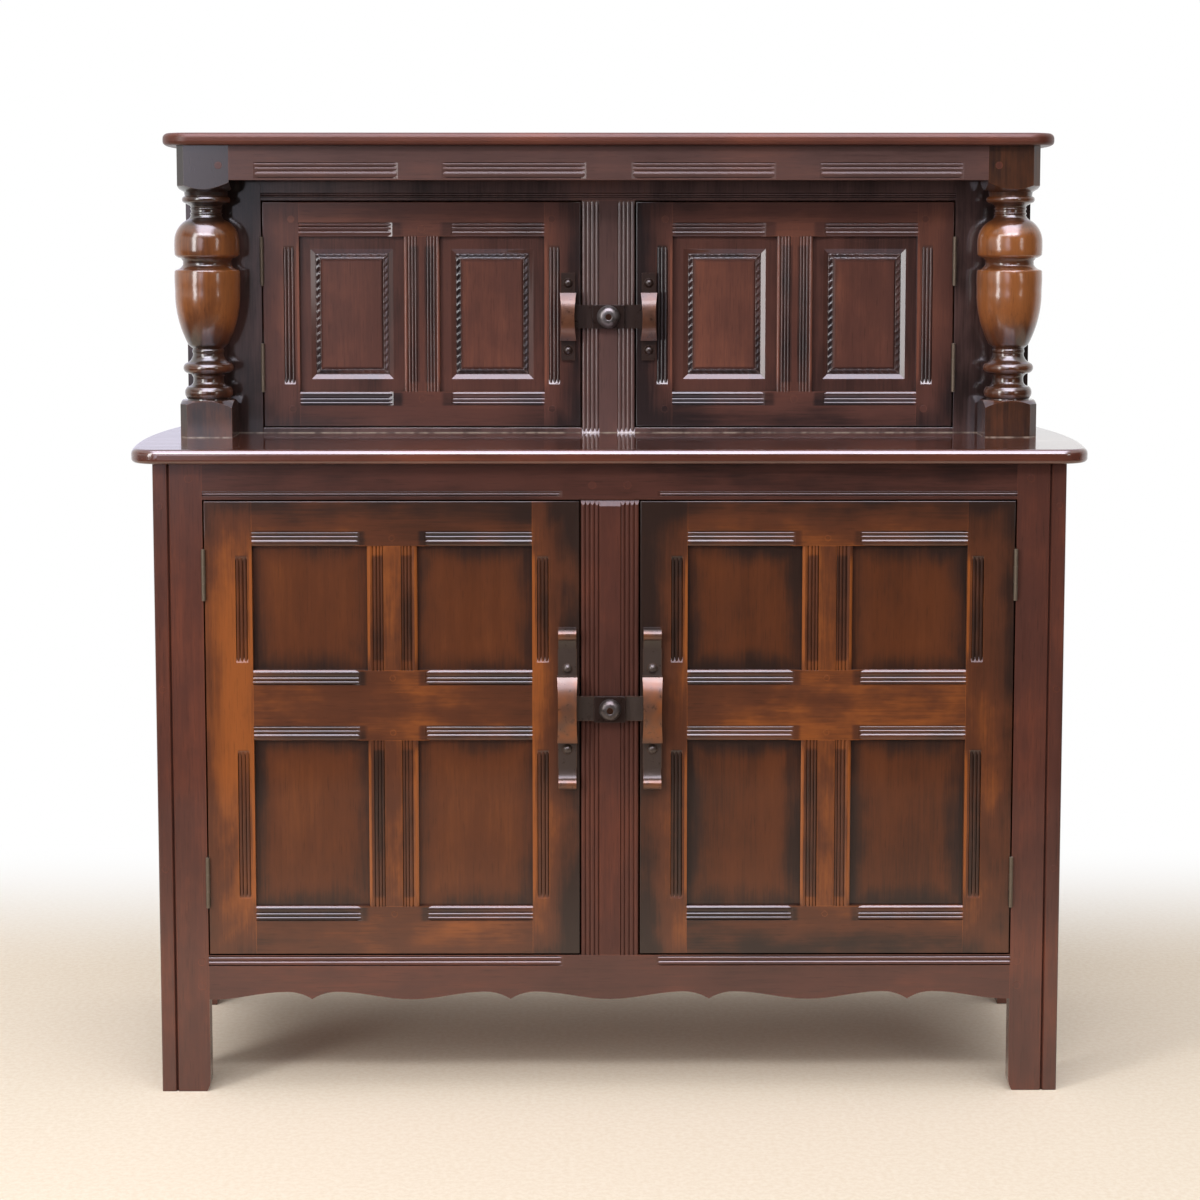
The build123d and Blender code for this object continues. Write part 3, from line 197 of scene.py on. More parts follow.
# %% Group: oak grain
wide_streaks = (42.0, 4.0, 0.6)
fine_streaks = (330.0, 3.0, 0.6)
streak_span = (0.7, 1.3)
large_clouds = (4.6, 2.0, 0.5)
small_clouds = (17.0, 3.0, 0.6)
small_cloud_share = 0.45
cloud_span = (0.48, 0.96)
pores = (820.0, 1.0, 0.4)
pore_span = (0.62, 0.72)
grain_group, given, result = new_group(
    "oak grain",
    [("Position", "Vector", None), ("Squeeze", "Vector", (1.0, 1.0, 0.05)), ("Shift", "Vector", None)],
    [("Streak", "Float"), ("Cloud", "Float"), ("Fleck", "Float")],
)
moved = vector_sum(grain_group, "ADD", given["Position"], given["Shift"])
squeezed = vector_sum(grain_group, "MULTIPLY", moved, given["Squeeze"])
wide = noise(grain_group, squeezed, *wide_streaks)
fine = noise(grain_group, squeezed, *fine_streaks)
both = sum_up(grain_group, "ADD", wide, fine)
grain_group.links.new(step(grain_group, both, *streak_span), result["Streak"])
halfway = vector_sum(grain_group, "ADD", moved, squeezed)
large = noise(grain_group, halfway, *large_clouds)
small = noise(grain_group, halfway, *small_clouds)
both = sum_up(grain_group, "MULTIPLY_ADD", small, small_cloud_share, large)
grain_group.links.new(step(grain_group, both, *cloud_span), result["Cloud"])
open_pores = noise(grain_group, squeezed, *pores)
grain_group.links.new(step(grain_group, open_pores, *pore_span), result["Fleck"])
print("group", grain_group.name)

# %% [markdown]
# ## How far inside a rectangle
# The finish is shaded: dark towards the edges of a door and of each panel, and rubbed through to
# golden brown in the middle. What decides it is how far a spot lies from the sides of a rectangle.
# The group gives that distance from the nearest side, from the upright sides and from the level
# ones. Both halves of the cupboard mirror each other, so it measures on the absolute position.

# %% Group: distance inside a rectangle
inset_group, given, result = new_group(
    "distance inside a rectangle",
    [("Position", "Vector", None), ("Centre", "Vector", None), ("Half size", "Vector", None)],
    [("Inside", "Float"), ("Sideways", "Float"), ("Upright", "Float")],
)
mirrored = vector_sum(inset_group, "ABSOLUTE", given["Position"])
away = vector_sum(inset_group, "SUBTRACT", mirrored, given["Centre"])
away = vector_sum(inset_group, "ABSOLUTE", away)
left = parts_of(inset_group, vector_sum(inset_group, "SUBTRACT", given["Half size"], away))
nearest = sum_up(inset_group, "MINIMUM", left["X"], left["Z"])
inset_group.links.new(nearest, result["Inside"])
inset_group.links.new(left["X"], result["Sideways"])
inset_group.links.new(left["Z"], result["Upright"])
print("group", inset_group.name)

# %% [markdown]
# ## Stain, rubbed places, grime and painted shade
# One group turns the masks into colour. The stain is the dark ground, the body colour lies under
# it, and the worn colour shows where it is rubbed most. Streaks and clouds decide where it gives
# way first, pores stay dark, and the hollows are painted dark, as grime and as painted shade.

# %% Group: rubbed stain
streak_pull = 0.14
middle_cloud = 0.5
stain_to_body = (0.0, 0.5)
body_to_worn = (0.45, 1.0)
fleck_share = 0.22
pore_and_shade_dark = colour(14, 9, 8)
stain_group, given, result = new_group(
    "rubbed stain",
    [
        ("Rub", "Float", 0.4),
        ("Streak", "Float", 0.5),
        ("Cloud", "Float", 0.5),
        ("Cloudiness", "Float", 0.4),
        ("Fleck", "Float", 0.0),
        ("Grime and shade", "Float", 0.0),
        ("Stain", "Color", colour(38, 26, 24)),
        ("Body", "Color", colour(84, 44, 30)),
        ("Worn", "Color", colour(150, 88, 36)),
    ],
    [("Colour", "Color"), ("Shine", "Float")],
)
uneven = sum_up(stain_group, "MULTIPLY_ADD", given["Streak"], streak_pull, -streak_pull / 2)
cloudy = sum_up(stain_group, "SUBTRACT", given["Cloud"], middle_cloud)
uneven = sum_up(stain_group, "MULTIPLY_ADD", cloudy, given["Cloudiness"], uneven)
rubbed = sum_up(stain_group, "ADD", given["Rub"], uneven, clamp=True)
tone = mixed(stain_group, step(stain_group, rubbed, *stain_to_body), given["Stain"], given["Body"])
tone = mixed(stain_group, step(stain_group, rubbed, *body_to_worn), tone, given["Worn"])
# Painted shade: the grime in the hollows also stands for the shade that falls in them.
dark = sum_up(stain_group, "MULTIPLY", given["Fleck"], fleck_share)
dark = sum_up(stain_group, "MAXIMUM", dark, given["Grime and shade"])
tone = mixed(stain_group, dark, tone, pore_and_shade_dark)
stain_group.links.new(tone, result["Colour"])
stain_group.links.new(opposite(stain_group, dark), result["Shine"])
print("group", stain_group.name)

# %% [markdown]
# ## Dust and a painted highlight on the middle board
# Where the posts and the cabinet stand on the middle board, no cloth reaches into the corner. A
# thin pale line is painted there, as dust and as a painted highlight on the edges of that joint,
# thicker in some places than in others.

# %% Group: settled dust and painted highlight
z_middle_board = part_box("middle_board")[1].z
dust_and_highlight_top = (z_middle_board + 1.7 * mm, z_middle_board + 0.4 * mm)
dust_and_highlight_foot = (z_middle_board + 0.05 * mm, z_middle_board + 0.2 * mm)
dust_and_highlight_patches = (70.0, 2.0)
dust_and_highlight_patch_span = (0.35, 0.6, 0.15, 0.8)
dust_and_highlight_group, given, result = new_group(
    "settled dust_and_highlight", [("Position", "Vector", None)], [("Dust and highlight", "Float")])
height = parts_of(dust_and_highlight_group, given["Position"])["Z"]
below = step(dust_and_highlight_group, height, *dust_and_highlight_top)
above = step(dust_and_highlight_group, height, *dust_and_highlight_foot)
ragged = step(dust_and_highlight_group, noise(dust_and_highlight_group, given["Position"], *dust_and_highlight_patches), *dust_and_highlight_patch_span)
line = sum_up(dust_and_highlight_group, "MULTIPLY", sum_up(dust_and_highlight_group, "MULTIPLY", below, above), ragged)
dust_and_highlight_group.links.new(line, result["Dust and highlight"])
print("group", dust_and_highlight_group.name, "above", round(z_middle_board, 4))

# %% [markdown]
# ## Hollows and arrises
# Hollows are painted dark, as grime where no cloth reaches and as the shade that falls in them. An
# arris is painted light, as wear from every cloth that passes over it and as a painted highlight.
# Ambient Occlusion tells how shut in a spot is. The Bevel node gives the normal that a rounded
# edge would have, and where it differs from the true normal there is an arris.


# %% Helpers for materials
def position_of(tree):
    return place(tree, "TexCoord").outputs["Object"]


def new_material(name):
    material = bpy.data.materials.new(name)
    material.use_nodes = True
    tree = material.node_tree
    tree.nodes.clear()
    shader = place(tree, "BsdfPrincipled")
    output = place(tree, "OutputMaterial")
    tree.links.new(shader.outputs[0], output.inputs["Surface"])
    return material, tree, shader


def hollows(tree, reach):
    """1 deep in a hollow, 0 on an open face."""
    open_sky = place(tree, "AmbientOcclusion", {"Distance": reach}, samples=8).outputs["AO"]
    return opposite(tree, open_sky)


def arrises(tree, radius):
    """How much the surface turns within a radius: 1 on a sharp edge."""
    rounded = place(tree, "Bevel", {"Radius": radius}, samples=4).outputs["Normal"]
    true = place(tree, "NewGeometry").outputs["Normal"]
    return opposite(tree, vector_sum(tree, "DOT_PRODUCT", rounded, true))


print("material helpers ready")

# %% [markdown]
# ## The wood material
# Each board needs its grain to run along it, so the material takes the squeeze of the grain as a
# setting. The rest is shared: hollows are painted dark, as grime and as painted shade, arrises are
# painted light, as wear and as a painted highlight, and a thin clear coat of polish lies over
# everything. The coat is smooth, so it mirrors a window or a post sharply, while the stained wood
# below it is softer. Its weight, blur and IOR say how well a piece is waxed.

# %% Wood
GRAIN_SQUEEZE = 0.045
ALONG_X = (GRAIN_SQUEEZE, 1.0, 1.0)
ALONG_Y = (1.0, GRAIN_SQUEEZE, 1.0)
ALONG_Z = (1.0, 1.0, GRAIN_SQUEEZE)
SHIFTS = {ALONG_X: (3.1, 0.7, 1.9), ALONG_Y: (0.4, 5.2, 2.6), ALONG_Z: (0.0, 0.0, 0.0)}
hollow_reach = 7 * mm
grime_and_shade_span = (0.3, 0.85)
grime_and_shade_share = 0.85
arris_radius = 1.4 * mm
arris_span = (0.02, 0.16)
open_span = (0.55, 0.25)
dust_and_highlight_colour = colour(176, 162, 146)
streak_dullness = 0.1
pore_and_shade_dark_dullness = 0.3
streak_relief = 0.25
fleck_relief = -1.0
grain_bump = {"Strength": 0.12, "Distance": 0.4 * mm}
wood_specular = 0.15


def wood(name, squeeze, rub_of, look, coat=0.9, shine=0.36, edge_share=0.3,
         shift=None, blur=0.09, coat_ior=1.5):
    """Stained and polished oak. rub_of gives the share rubbed through at each spot."""
    material, tree, shader = new_material(name)
    spot = position_of(tree)
    shift = SHIFTS[squeeze] if shift is None else shift
    grain = use(tree, grain_group, {"Position": spot, "Squeeze": squeeze, "Shift": shift})
    # Painted shade and highlight: hollows darker as grime and shade, arrises lighter as wear and
    # highlight.
    hollow = hollows(tree, hollow_reach)
    arris = step(tree, arrises(tree, arris_radius), *arris_span)
    open_arris = sum_up(tree, "MULTIPLY", arris, step(tree, hollow, *open_span))
    rub = sum_up(tree, "MULTIPLY_ADD", open_arris, edge_share, rub_of(tree, spot))
    finish = use(tree, stain_group, {
        "Rub": rub, "Streak": grain["Streak"], "Cloud": grain["Cloud"], "Fleck": grain["Fleck"],
        "Cloudiness": look["cloudiness"],
        "Grime and shade": sum_up(tree, "MULTIPLY", step(tree, hollow, *grime_and_shade_span), grime_and_shade_share),
        "Stain": look["stain"], "Body": look["body"], "Worn": look["worn"],
    })
    # Painted highlight: a pale line at the foot of the posts and cabinet, as dust and as light on the
    # edges.
    dust_and_highlight = use(tree, dust_and_highlight_group, {"Position": spot})["Dust and highlight"]
    feed(tree, shader.inputs["Base Color"], mixed(tree, dust_and_highlight, finish["Colour"], dust_and_highlight_colour))
    dull = sum_up(tree, "MULTIPLY_ADD", grain["Streak"], streak_dullness, shine - streak_dullness / 2)
    dull = sum_up(tree, "MULTIPLY_ADD", opposite(tree, finish["Shine"]), pore_and_shade_dark_dullness, dull)
    feed(tree, shader.inputs["Roughness"], dull)
    pitted = sum_up(tree, "MULTIPLY", grain["Fleck"], fleck_relief)
    height = sum_up(tree, "MULTIPLY_ADD", grain["Streak"], streak_relief, pitted)
    bump = place(tree, "Bump", {"Height": height, **grain_bump})
    feed(tree, shader.inputs["Normal"], bump.outputs["Normal"])
    shader.inputs["Specular IOR Level"].default_value = wood_specular
    shader.inputs["Coat Weight"].default_value = coat
    shader.inputs["Coat Roughness"].default_value = blur
    shader.inputs["Coat IOR"].default_value = coat_ior
    return material


def even_rub(share):
    """The same share rubbed through everywhere."""
    return lambda tree, spot: share


print("wood ready")

# %% [markdown]
# ## Where the doors are rubbed
# On the doors the polisher has worked with care, so the masks need to know where the doors, their
# openings and their reeds are. A rectangle is its centre and its half size, on the right half of
# the cupboard. The reeds beside an opening and those above and below it have their own bands and
# ends. Hand says between which distances from the middle of the cupboard hands darken the wood,
# and by how much.

# %% Sizes of the doors
lower_door = ((273.75 * mm, 0.0, 470.0 * mm), (235.45 * mm, 1.0, 290.0 * mm))
lower_columns = (170.0 * mm, 377.5 * mm)
lower_column_half = 72.25 * mm
lower_rows = ((348.7 * mm, 107.2 * mm), (624.4 * mm, 79.0 * mm))
upper_door = ((250.0 * mm, 0.0, 985.25 * mm), (212.7 * mm, 1.0, 150.25 * mm))
upper_columns = (155.9 * mm, 344.1 * mm)
upper_column_half = 70.1 * mm
upper_rows = ((985.6 * mm, 103.9 * mm),)
field_half = (39.45 * mm, 71.5 * mm)
valley_width = 9.6 * mm
reeds_upright = {
    "over": "Sideways", "along": "Upright",
    "band": (6.5 * mm, 20.5 * mm), "ends": (10 * mm, 15 * mm),
    "worn": 0.42, "hand": (90 * mm, 46 * mm, -0.26),
}
reeds_level = {
    "over": "Upright", "along": "Sideways",
    "band": (1 * mm, 19 * mm), "ends": (-1 * mm, 6 * mm),
    "worn": 0.0, "hand": (160 * mm, 104 * mm, -0.16),
}
print("door openings", len(lower_columns) * len(lower_rows), "below and", len(upper_columns), "above")

# %% [markdown]
# ## Distances from an opening
# A door has several openings, so the helpers go over all of them. The nearest opening is the one
# that a spot lies deepest in, which is the largest of the distances inside.


# %% Helpers for the openings
def inset(tree, spot, centre, half):
    """The distances inside a rectangle."""
    return use(tree, inset_group, {"Position": spot, "Centre": centre, "Half size": half})


def inside(tree, spot, centre, half):
    """The distance from the nearest side of a rectangle."""
    return inset(tree, spot, centre, half)["Inside"]


def nearest_opening(tree, spot, columns, rows, half_of):
    """Distance inside the nearest opening: positive in it, negative outside."""
    found = None
    for x in columns:
        for z, half in rows:
            here = inside(tree, spot, (x, 0.0, z), (half_of[0], 1.0, half_of[1] or half))
            found = here if found is None else sum_up(tree, "MAXIMUM", found, here)
    return found


def between(tree, value, low, high, soft):
    """1 between two limits, with soft sides."""
    rising = step(tree, value, low - soft, low + soft)
    return sum_up(tree, "MULTIPLY", rising, step(tree, value, high + soft, high - soft))


print("opening helpers ready")

# %% [markdown]
# ## The frames of the doors
# The frame is golden along the middle of every stile and rail and dark round the outside of the
# door, along the reeds, and where hands reach for the handles. The arris between the reeds and an
# opening is worn golden again. The right half is painted a little darker, as painted shade away
# from the window light at the left. The top and foot of each door get painted light and shade too:
# the upper doors are painted lighter at the top, the lower doors darker there, and every foot darker.

# %% Rub mask of the door frames
right_painted_shade = -0.09
right_fade = 40 * mm
reed_soft = 1.2 * mm
reed_dark = -0.32
worn_arris = (-3.4 * mm, 0.5 * mm, 0.8 * mm)
worn_arris_end = (0.0, 30 * mm)
wander_grain = (11.0, 2.0)
wander_reach = 22 * mm
door_edge_fade = (-6 * mm, 36 * mm)
top_painted_light_fade = (80 * mm, 20 * mm)
foot_painted_shade_fade = (75 * mm, 20 * mm)


def right_side(tree, across):
    """Painted shade: how much darker the right half of the cupboard is painted."""
    return step(tree, across, -right_fade, right_fade, 0.0, right_painted_shade)


def reeded(tree, spot, columns, column_half, rows, reeds):
    """What the reeds beside the openings take away, and what the worn arris next to them adds."""
    total = None
    for x in columns:
        for z, half in rows:
            sides = inset(tree, spot, (x, 0.0, z), (column_half, 1.0, half))
            over, along = sides[reeds["over"]], sides[reeds["along"]]
            band = between(tree, over, -reeds["band"][1], -reeds["band"][0], reed_soft)
            band = sum_up(tree, "MULTIPLY", band, step(tree, along, *reeds["ends"]))
            arris = between(tree, over, *worn_arris)
            worn = step(tree, along, *worn_arris_end, 0.0, reeds["worn"])
            arris = sum_up(tree, "MULTIPLY", arris, worn)
            here = sum_up(tree, "MULTIPLY_ADD", band, reed_dark, arris)
            total = here if total is None else sum_up(tree, "ADD", total, here)
    return total


def frame_rub(door, columns, column_half, rows, reeds, low, high, top_painted_light_share, foot_painted_shade_share):
    """Low at the edges of the door and high along its middle lines, with a dark band of reeds."""
    top = door[0][2] + door[1][2]
    foot = door[0][2] - door[1][2]

    def rub(tree, spot):
        wander = noise(tree, spot, *wander_grain)
        wander = sum_up(tree, "MULTIPLY_ADD", wander, 2 * wander_reach, -wander_reach)
        outer = sum_up(tree, "ADD", inside(tree, spot, *door), wander)
        level = step(tree, outer, *door_edge_fade, low, high)
        level = sum_up(tree, "ADD", level, reeded(tree, spot, columns, column_half, rows, reeds))
        parts = parts_of(tree, spot)
        from_middle = sum_up(tree, "ABSOLUTE", parts["X"])
        handled = step(tree, from_middle, *reeds["hand"][:2], 0.0, reeds["hand"][2])
        # Painted light and shade at the top and foot of a door, and painted shade on the right half.
        top_painted_light = step(tree, parts["Z"], top - top_painted_light_fade[0], top - top_painted_light_fade[1], 0.0, top_painted_light_share)
        foot_painted_shade = step(tree, parts["Z"], foot + foot_painted_shade_fade[0], foot + foot_painted_shade_fade[1], 0.0, foot_painted_shade_share)
        painted_shading = sum_up(tree, "ADD", top_painted_light, foot_painted_shade)
        painted_shading = sum_up(tree, "ADD", painted_shading, right_side(tree, parts["X"]))
        return sum_up(tree, "ADD", level, sum_up(tree, "ADD", handled, painted_shading))
    return rub


print("frame mask ready")

# %% [markdown]
# ## The panels of the doors
# Each panel is a pool of warm brown that darkens towards its frame. The upper panels are fielded:
# a raised field stands in the middle, and the valley carved round it is coloured darker.

# %% Rub masks of the panels
pool_grain = (20.0, 3.0)
pool_reach = 22 * mm
pool_fade = (9 * mm, 46 * mm)
field_fade = (-2 * mm, 3 * mm)
valley_edge = -2.5 * mm
valley_soft = 1.0 * mm
valley_dark = -0.4


def panel_rub(columns, column_half, rows, low, high):
    """A flat panel: a pool that fades towards the frame."""
    def rub(tree, spot):
        opening = nearest_opening(tree, spot, columns, rows, (column_half, None))
        ragged = sum_up(tree, "MULTIPLY_ADD", noise(tree, spot, *pool_grain), pool_reach, opening)
        # Painted shade on the right half of the cupboard.
        painted_shading = right_side(tree, parts_of(tree, spot)["X"])
        return sum_up(tree, "ADD", step(tree, ragged, *pool_fade, low, high), painted_shading)
    return rub


def field_rub(columns, rows, border, field):
    """A fielded panel: border, dark valley and field."""
    def rub(tree, spot):
        opening = nearest_opening(tree, spot, columns, rows, field_half)
        level = step(tree, opening, *field_fade, border, field)
        valley = between(tree, opening, -valley_width, valley_edge, valley_soft)
        return sum_up(tree, "MULTIPLY_ADD", valley, valley_dark, level)
    return rub


print("panel masks ready")

# %% [markdown]
# ## The posts
# Turned work is rubbed on its swellings, because that is where a cloth touches, and stays dark in
# the necks. The distance from the axis of the post tells one from the other. The cup is darker
# towards its foot.

# %% Rub mask of the posts
post_low, post_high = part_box("post_right")
post_depth = post_low.y + (post_high.x - post_low.x) / 2
post_axis = (post_low.x + post_high.x) / 2
turned_low = 870.0 * mm
turned_high = 1148.0 * mm
turned_fade = 8 * mm
cup_low = 925.0 * mm
cup_rise = 60 * mm
cup_share = 0.8
neck_to_swelling = (23 * mm, 40 * mm, 0.1, 0.68)
post_ground = 0.14


def post_rub(tree, spot):
    """High on the swellings of the turned part, low in its necks and on the square blocks."""
    mirrored = vector_sum(tree, "ABSOLUTE", spot)
    apart = vector_sum(tree, "SUBTRACT", mirrored, (post_axis, post_depth, 0.0))
    radius = vector_sum(tree, "LENGTH", vector_sum(tree, "MULTIPLY", apart, (1.0, 1.0, 0.0)))
    height = parts_of(tree, spot)["Z"]
    turned = sum_up(
        tree, "MULTIPLY", step(tree, height, turned_low, turned_low + turned_fade),
        step(tree, height, turned_high, turned_high - turned_fade),
    )
    swell = step(tree, radius, *neck_to_swelling)
    cup = step(tree, height, cup_low, cup_low + cup_rise, cup_share, 1.0)
    swell = sum_up(tree, "MULTIPLY", swell, cup)
    return sum_up(tree, "MULTIPLY_ADD", turned, swell, post_ground)


print("post axis at", round(post_axis, 4), round(post_depth, 4))

# %% [markdown]
# ## The cabinet frame
# The muntin between the upper doors is rubbed most. The stiles behind the posts are painted
# darker, as painted shade and painted reflection: the posts shade them and darken what they
# mirror. A step over the distance from the middle tells them apart.

# %% Rub mask of the cabinet frame
muntin_fade = (45 * mm, 60 * mm, 0.54, 0.34)
stile_painted_shade = (440 * mm, 480 * mm, 0.0, -0.16)


def cabinet_rub(tree, spot):
    """The muntin is rubbed most, and the stiles behind the posts get painted shade."""
    across = parts_of(tree, vector_sum(tree, "ABSOLUTE", spot))["X"]
    level = step(tree, across, *muntin_fade)
    return sum_up(tree, "ADD", level, step(tree, across, *stile_painted_shade))


print("cabinet mask ready")

# %% [markdown]
# ## Colours of the stain
# The frame of the cupboard is a dark red-brown, nearly black where it was never rubbed. The lower
# doors are the most golden, the upper doors are greyer, and the cabinet behind them is greyer still,
# partly as a painted sheen of the window that its polish mirrors. The posts are warm. Each look is
# the colour of the stain, of the body under it and of the worn places, and how cloudy the rubbing is.


# %% Looks
def new_look(stain, body, worn, cloudiness):
    return {"stain": stain, "body": body, "worn": worn, "cloudiness": cloudiness}


frame_look = new_look(colour(34, 22, 20), colour(80, 47, 39), colour(118, 64, 45), 0.3)
lower_look = new_look(colour(44, 29, 23), colour(86, 48, 30), colour(144, 80, 36), 0.5)
panel_look = dict(lower_look, body=colour(88, 47, 25), worn=colour(118, 65, 30), cloudiness=0.3)
upper_look = new_look(colour(36, 25, 24), colour(84, 52, 44), colour(120, 73, 57), 0.3)
post_look = new_look(colour(36, 23, 18), colour(92, 52, 29), colour(150, 90, 46), 0.4)
# Painted sheen: the greyer body and worn colours partly stand for the window mirrored in the polish.
cabinet_look_with_sheen = dict(frame_look, body=colour(88, 64, 60), worn=colour(122, 80, 68))
board_look = dict(frame_look, body=colour(92, 50, 38), worn=colour(130, 70, 48))
# Painted highlight: the pale worn colour on the ridges of the nicks stands for their glints.
nick_look_with_glints = dict(upper_look, worn=colour(136, 122, 118))
print("looks ready")

# %% [markdown]
# ## Stained oak, piece by piece
# Every piece takes its own grain direction, its share rubbed through and its wax. The middle board
# and the posts are waxed most often and gloss most. The base muntin and the frieze keep little
# wax, and the top board is out of reach, so its coat is thin and blurred. The base top rail under
# the overhang of the middle board is painted darker, as painted shade.


# %% Oak materials
def lower_frame(reeds):
    return frame_rub(lower_door, lower_columns, lower_column_half, lower_rows, reeds,
                     low=0.34, high=0.68, top_painted_light_share=-0.12, foot_painted_shade_share=-0.1)


def upper_frame(reeds):
    return frame_rub(upper_door, upper_columns, upper_column_half, upper_rows, reeds,
                     low=0.40, high=0.62, top_painted_light_share=0.08, foot_painted_shade_share=-0.14)


lower_panel = panel_rub(lower_columns, lower_column_half, lower_rows, low=0.18, high=0.53)
upper_panel = field_rub(upper_columns, upper_rows, border=0.38, field=0.66)
panel_shift = (0.0, 0.0, 3.3)
oak = {
    "frame up": wood("oak_frame_upright", ALONG_Z, even_rub(0.56), frame_look),
    "base muntin": wood("oak_base_muntin", ALONG_Z, even_rub(0.52), frame_look, coat=0.35),
    "frame across": wood("oak_frame_across", ALONG_X, even_rub(0.48), frame_look),
    "frieze": wood("oak_frieze", ALONG_X, even_rub(0.5), cabinet_look_with_sheen, coat=0.3),
    # Painted shade: the base top rail under the overhang of the middle board.
    "frame painted_shading": wood("oak_frame_painted_shading", ALONG_X, even_rub(0.32), frame_look),
    "frame deep": wood("oak_frame_deep", ALONG_Y, even_rub(0.48), frame_look),
    "cabinet": wood("oak_cabinet_frame", ALONG_Z, cabinet_rub, cabinet_look_with_sheen, coat=1.0),
    "lower up": wood("oak_lower_doors_upright", ALONG_Z, lower_frame(reeds_upright), lower_look,
                     edge_share=0.4),
    "lower across": wood("oak_lower_doors_across", ALONG_X, lower_frame(reeds_level), lower_look),
    "lower panel": wood("oak_lower_panels", ALONG_Z, lower_panel, panel_look, shift=panel_shift),
    "upper up": wood("oak_upper_doors_upright", ALONG_Z, upper_frame(reeds_upright), upper_look),
    "upper across": wood("oak_upper_doors_across", ALONG_X, upper_frame(reeds_level), upper_look),
    "upper panel": wood("oak_upper_panels", ALONG_Z, upper_panel, upper_look, shift=panel_shift),
    # Painted highlight: the nicks' ridges take the pale worn colour.
    "nicks": wood("oak_nicks", ALONG_Z, even_rub(0.12), nick_look_with_glints, edge_share=0.6),
    "post": wood("oak_posts", ALONG_Z, post_rub, post_look, coat=1.0, blur=0.16, coat_ior=1.65),
    "top board": wood("oak_top_board", ALONG_X, even_rub(0.5), board_look,
                      coat=0.4, shine=0.45, blur=0.34),
    "board": wood("oak_boards", ALONG_X, even_rub(0.5), board_look,
                  coat=1.0, shine=0.3, coat_ior=1.75),
}
print(len(oak), "oak materials")

# %% [markdown]
# ## Plain wood inside
# The floor, shelf and back are never polished. They are stained thinly and left dull, so they need
# no coat: grain, flecks and the corners painted dark, as grime and as painted shade, are enough.

# %% Inside wood
inside_fleck_share = 0.5
inside_fleck = colour(48, 30, 20)
inside_reach = 30 * mm
inside_grime_and_shade_span = (0.2, 0.9)
inside_grime_and_shade_share = 0.6
inside_grime_and_shade = colour(38, 26, 20)
inside_roughness = 0.62
inside_bump = {"Strength": 0.15, "Distance": 0.4 * mm}


def plain_wood(name, squeeze, light, dark):
    """Thinly stained wood that was never polished."""
    material, tree, shader = new_material(name)
    grain = use(tree, grain_group, {"Position": position_of(tree), "Squeeze": squeeze})
    tone = mixed(tree, grain["Streak"], dark, light)
    fleck = sum_up(tree, "MULTIPLY", grain["Fleck"], inside_fleck_share)
    tone = mixed(tree, fleck, tone, inside_fleck)
    # Painted shade: corners are darkened by ambient occlusion, as grime and as the shade there.
    grime_and_shade = step(tree, hollows(tree, inside_reach), *inside_grime_and_shade_span)
    grime_and_shade = sum_up(tree, "MULTIPLY", grime_and_shade, inside_grime_and_shade_share)
    feed(tree, shader.inputs["Base Color"], mixed(tree, grime_and_shade, tone, inside_grime_and_shade))
    shader.inputs["Roughness"].default_value = inside_roughness
    bump = place(tree, "Bump", {"Height": grain["Streak"], **inside_bump})
    feed(tree, shader.inputs["Normal"], bump.outputs["Normal"])
    return material


oak["inner"] = plain_wood("oak_inside", ALONG_X, colour(134, 92, 58), colour(92, 60, 38))
oak["back"] = plain_wood("oak_back", ALONG_Z, colour(146, 104, 70), colour(104, 72, 48))
print("inside wood ready")

# %% [markdown]
# ## Iron and steel
# Handles and latches are black iron, bronzed by years of hands. What stands out furthest is worn to
# a coppery brown, the plates stay grey-brown, and the hollows are painted black, as grime and as the
# shade that falls in them. How far a spot stands out in front of its door tells the grip from the
# plates. A little wax on the handles gives the small sharp glints of handled iron. The butt hinges
# are plain steel gone dull.

# %% Metal
mottle_grain = (120.0, 4.0, 0.65)
mottle_wear = (0.2, 0.55, 0.5, 1.0)
mottle_roughness = (0.2, 0.8)
patch_grain = (30.0, 2.0, 0.5)
patch_wear = (0.3, 0.62, 0.35, 1.0)
iron_arris_radius = 1.6 * mm
iron_arris_span = (0.01, 0.14)
iron_arris_share = 0.35
iron_reach = 6 * mm
iron_grime_and_shade_span = (0.3, 0.9)
iron_grime_and_shade_share = 0.75
iron_grime_and_shade = colour(18, 14, 13)
iron_bump = {"Strength": 0.16, "Distance": 0.3 * mm}
iron_specular = 0.3
wax_blur = 0.07
smoother = 0.06
rougher = 0.1


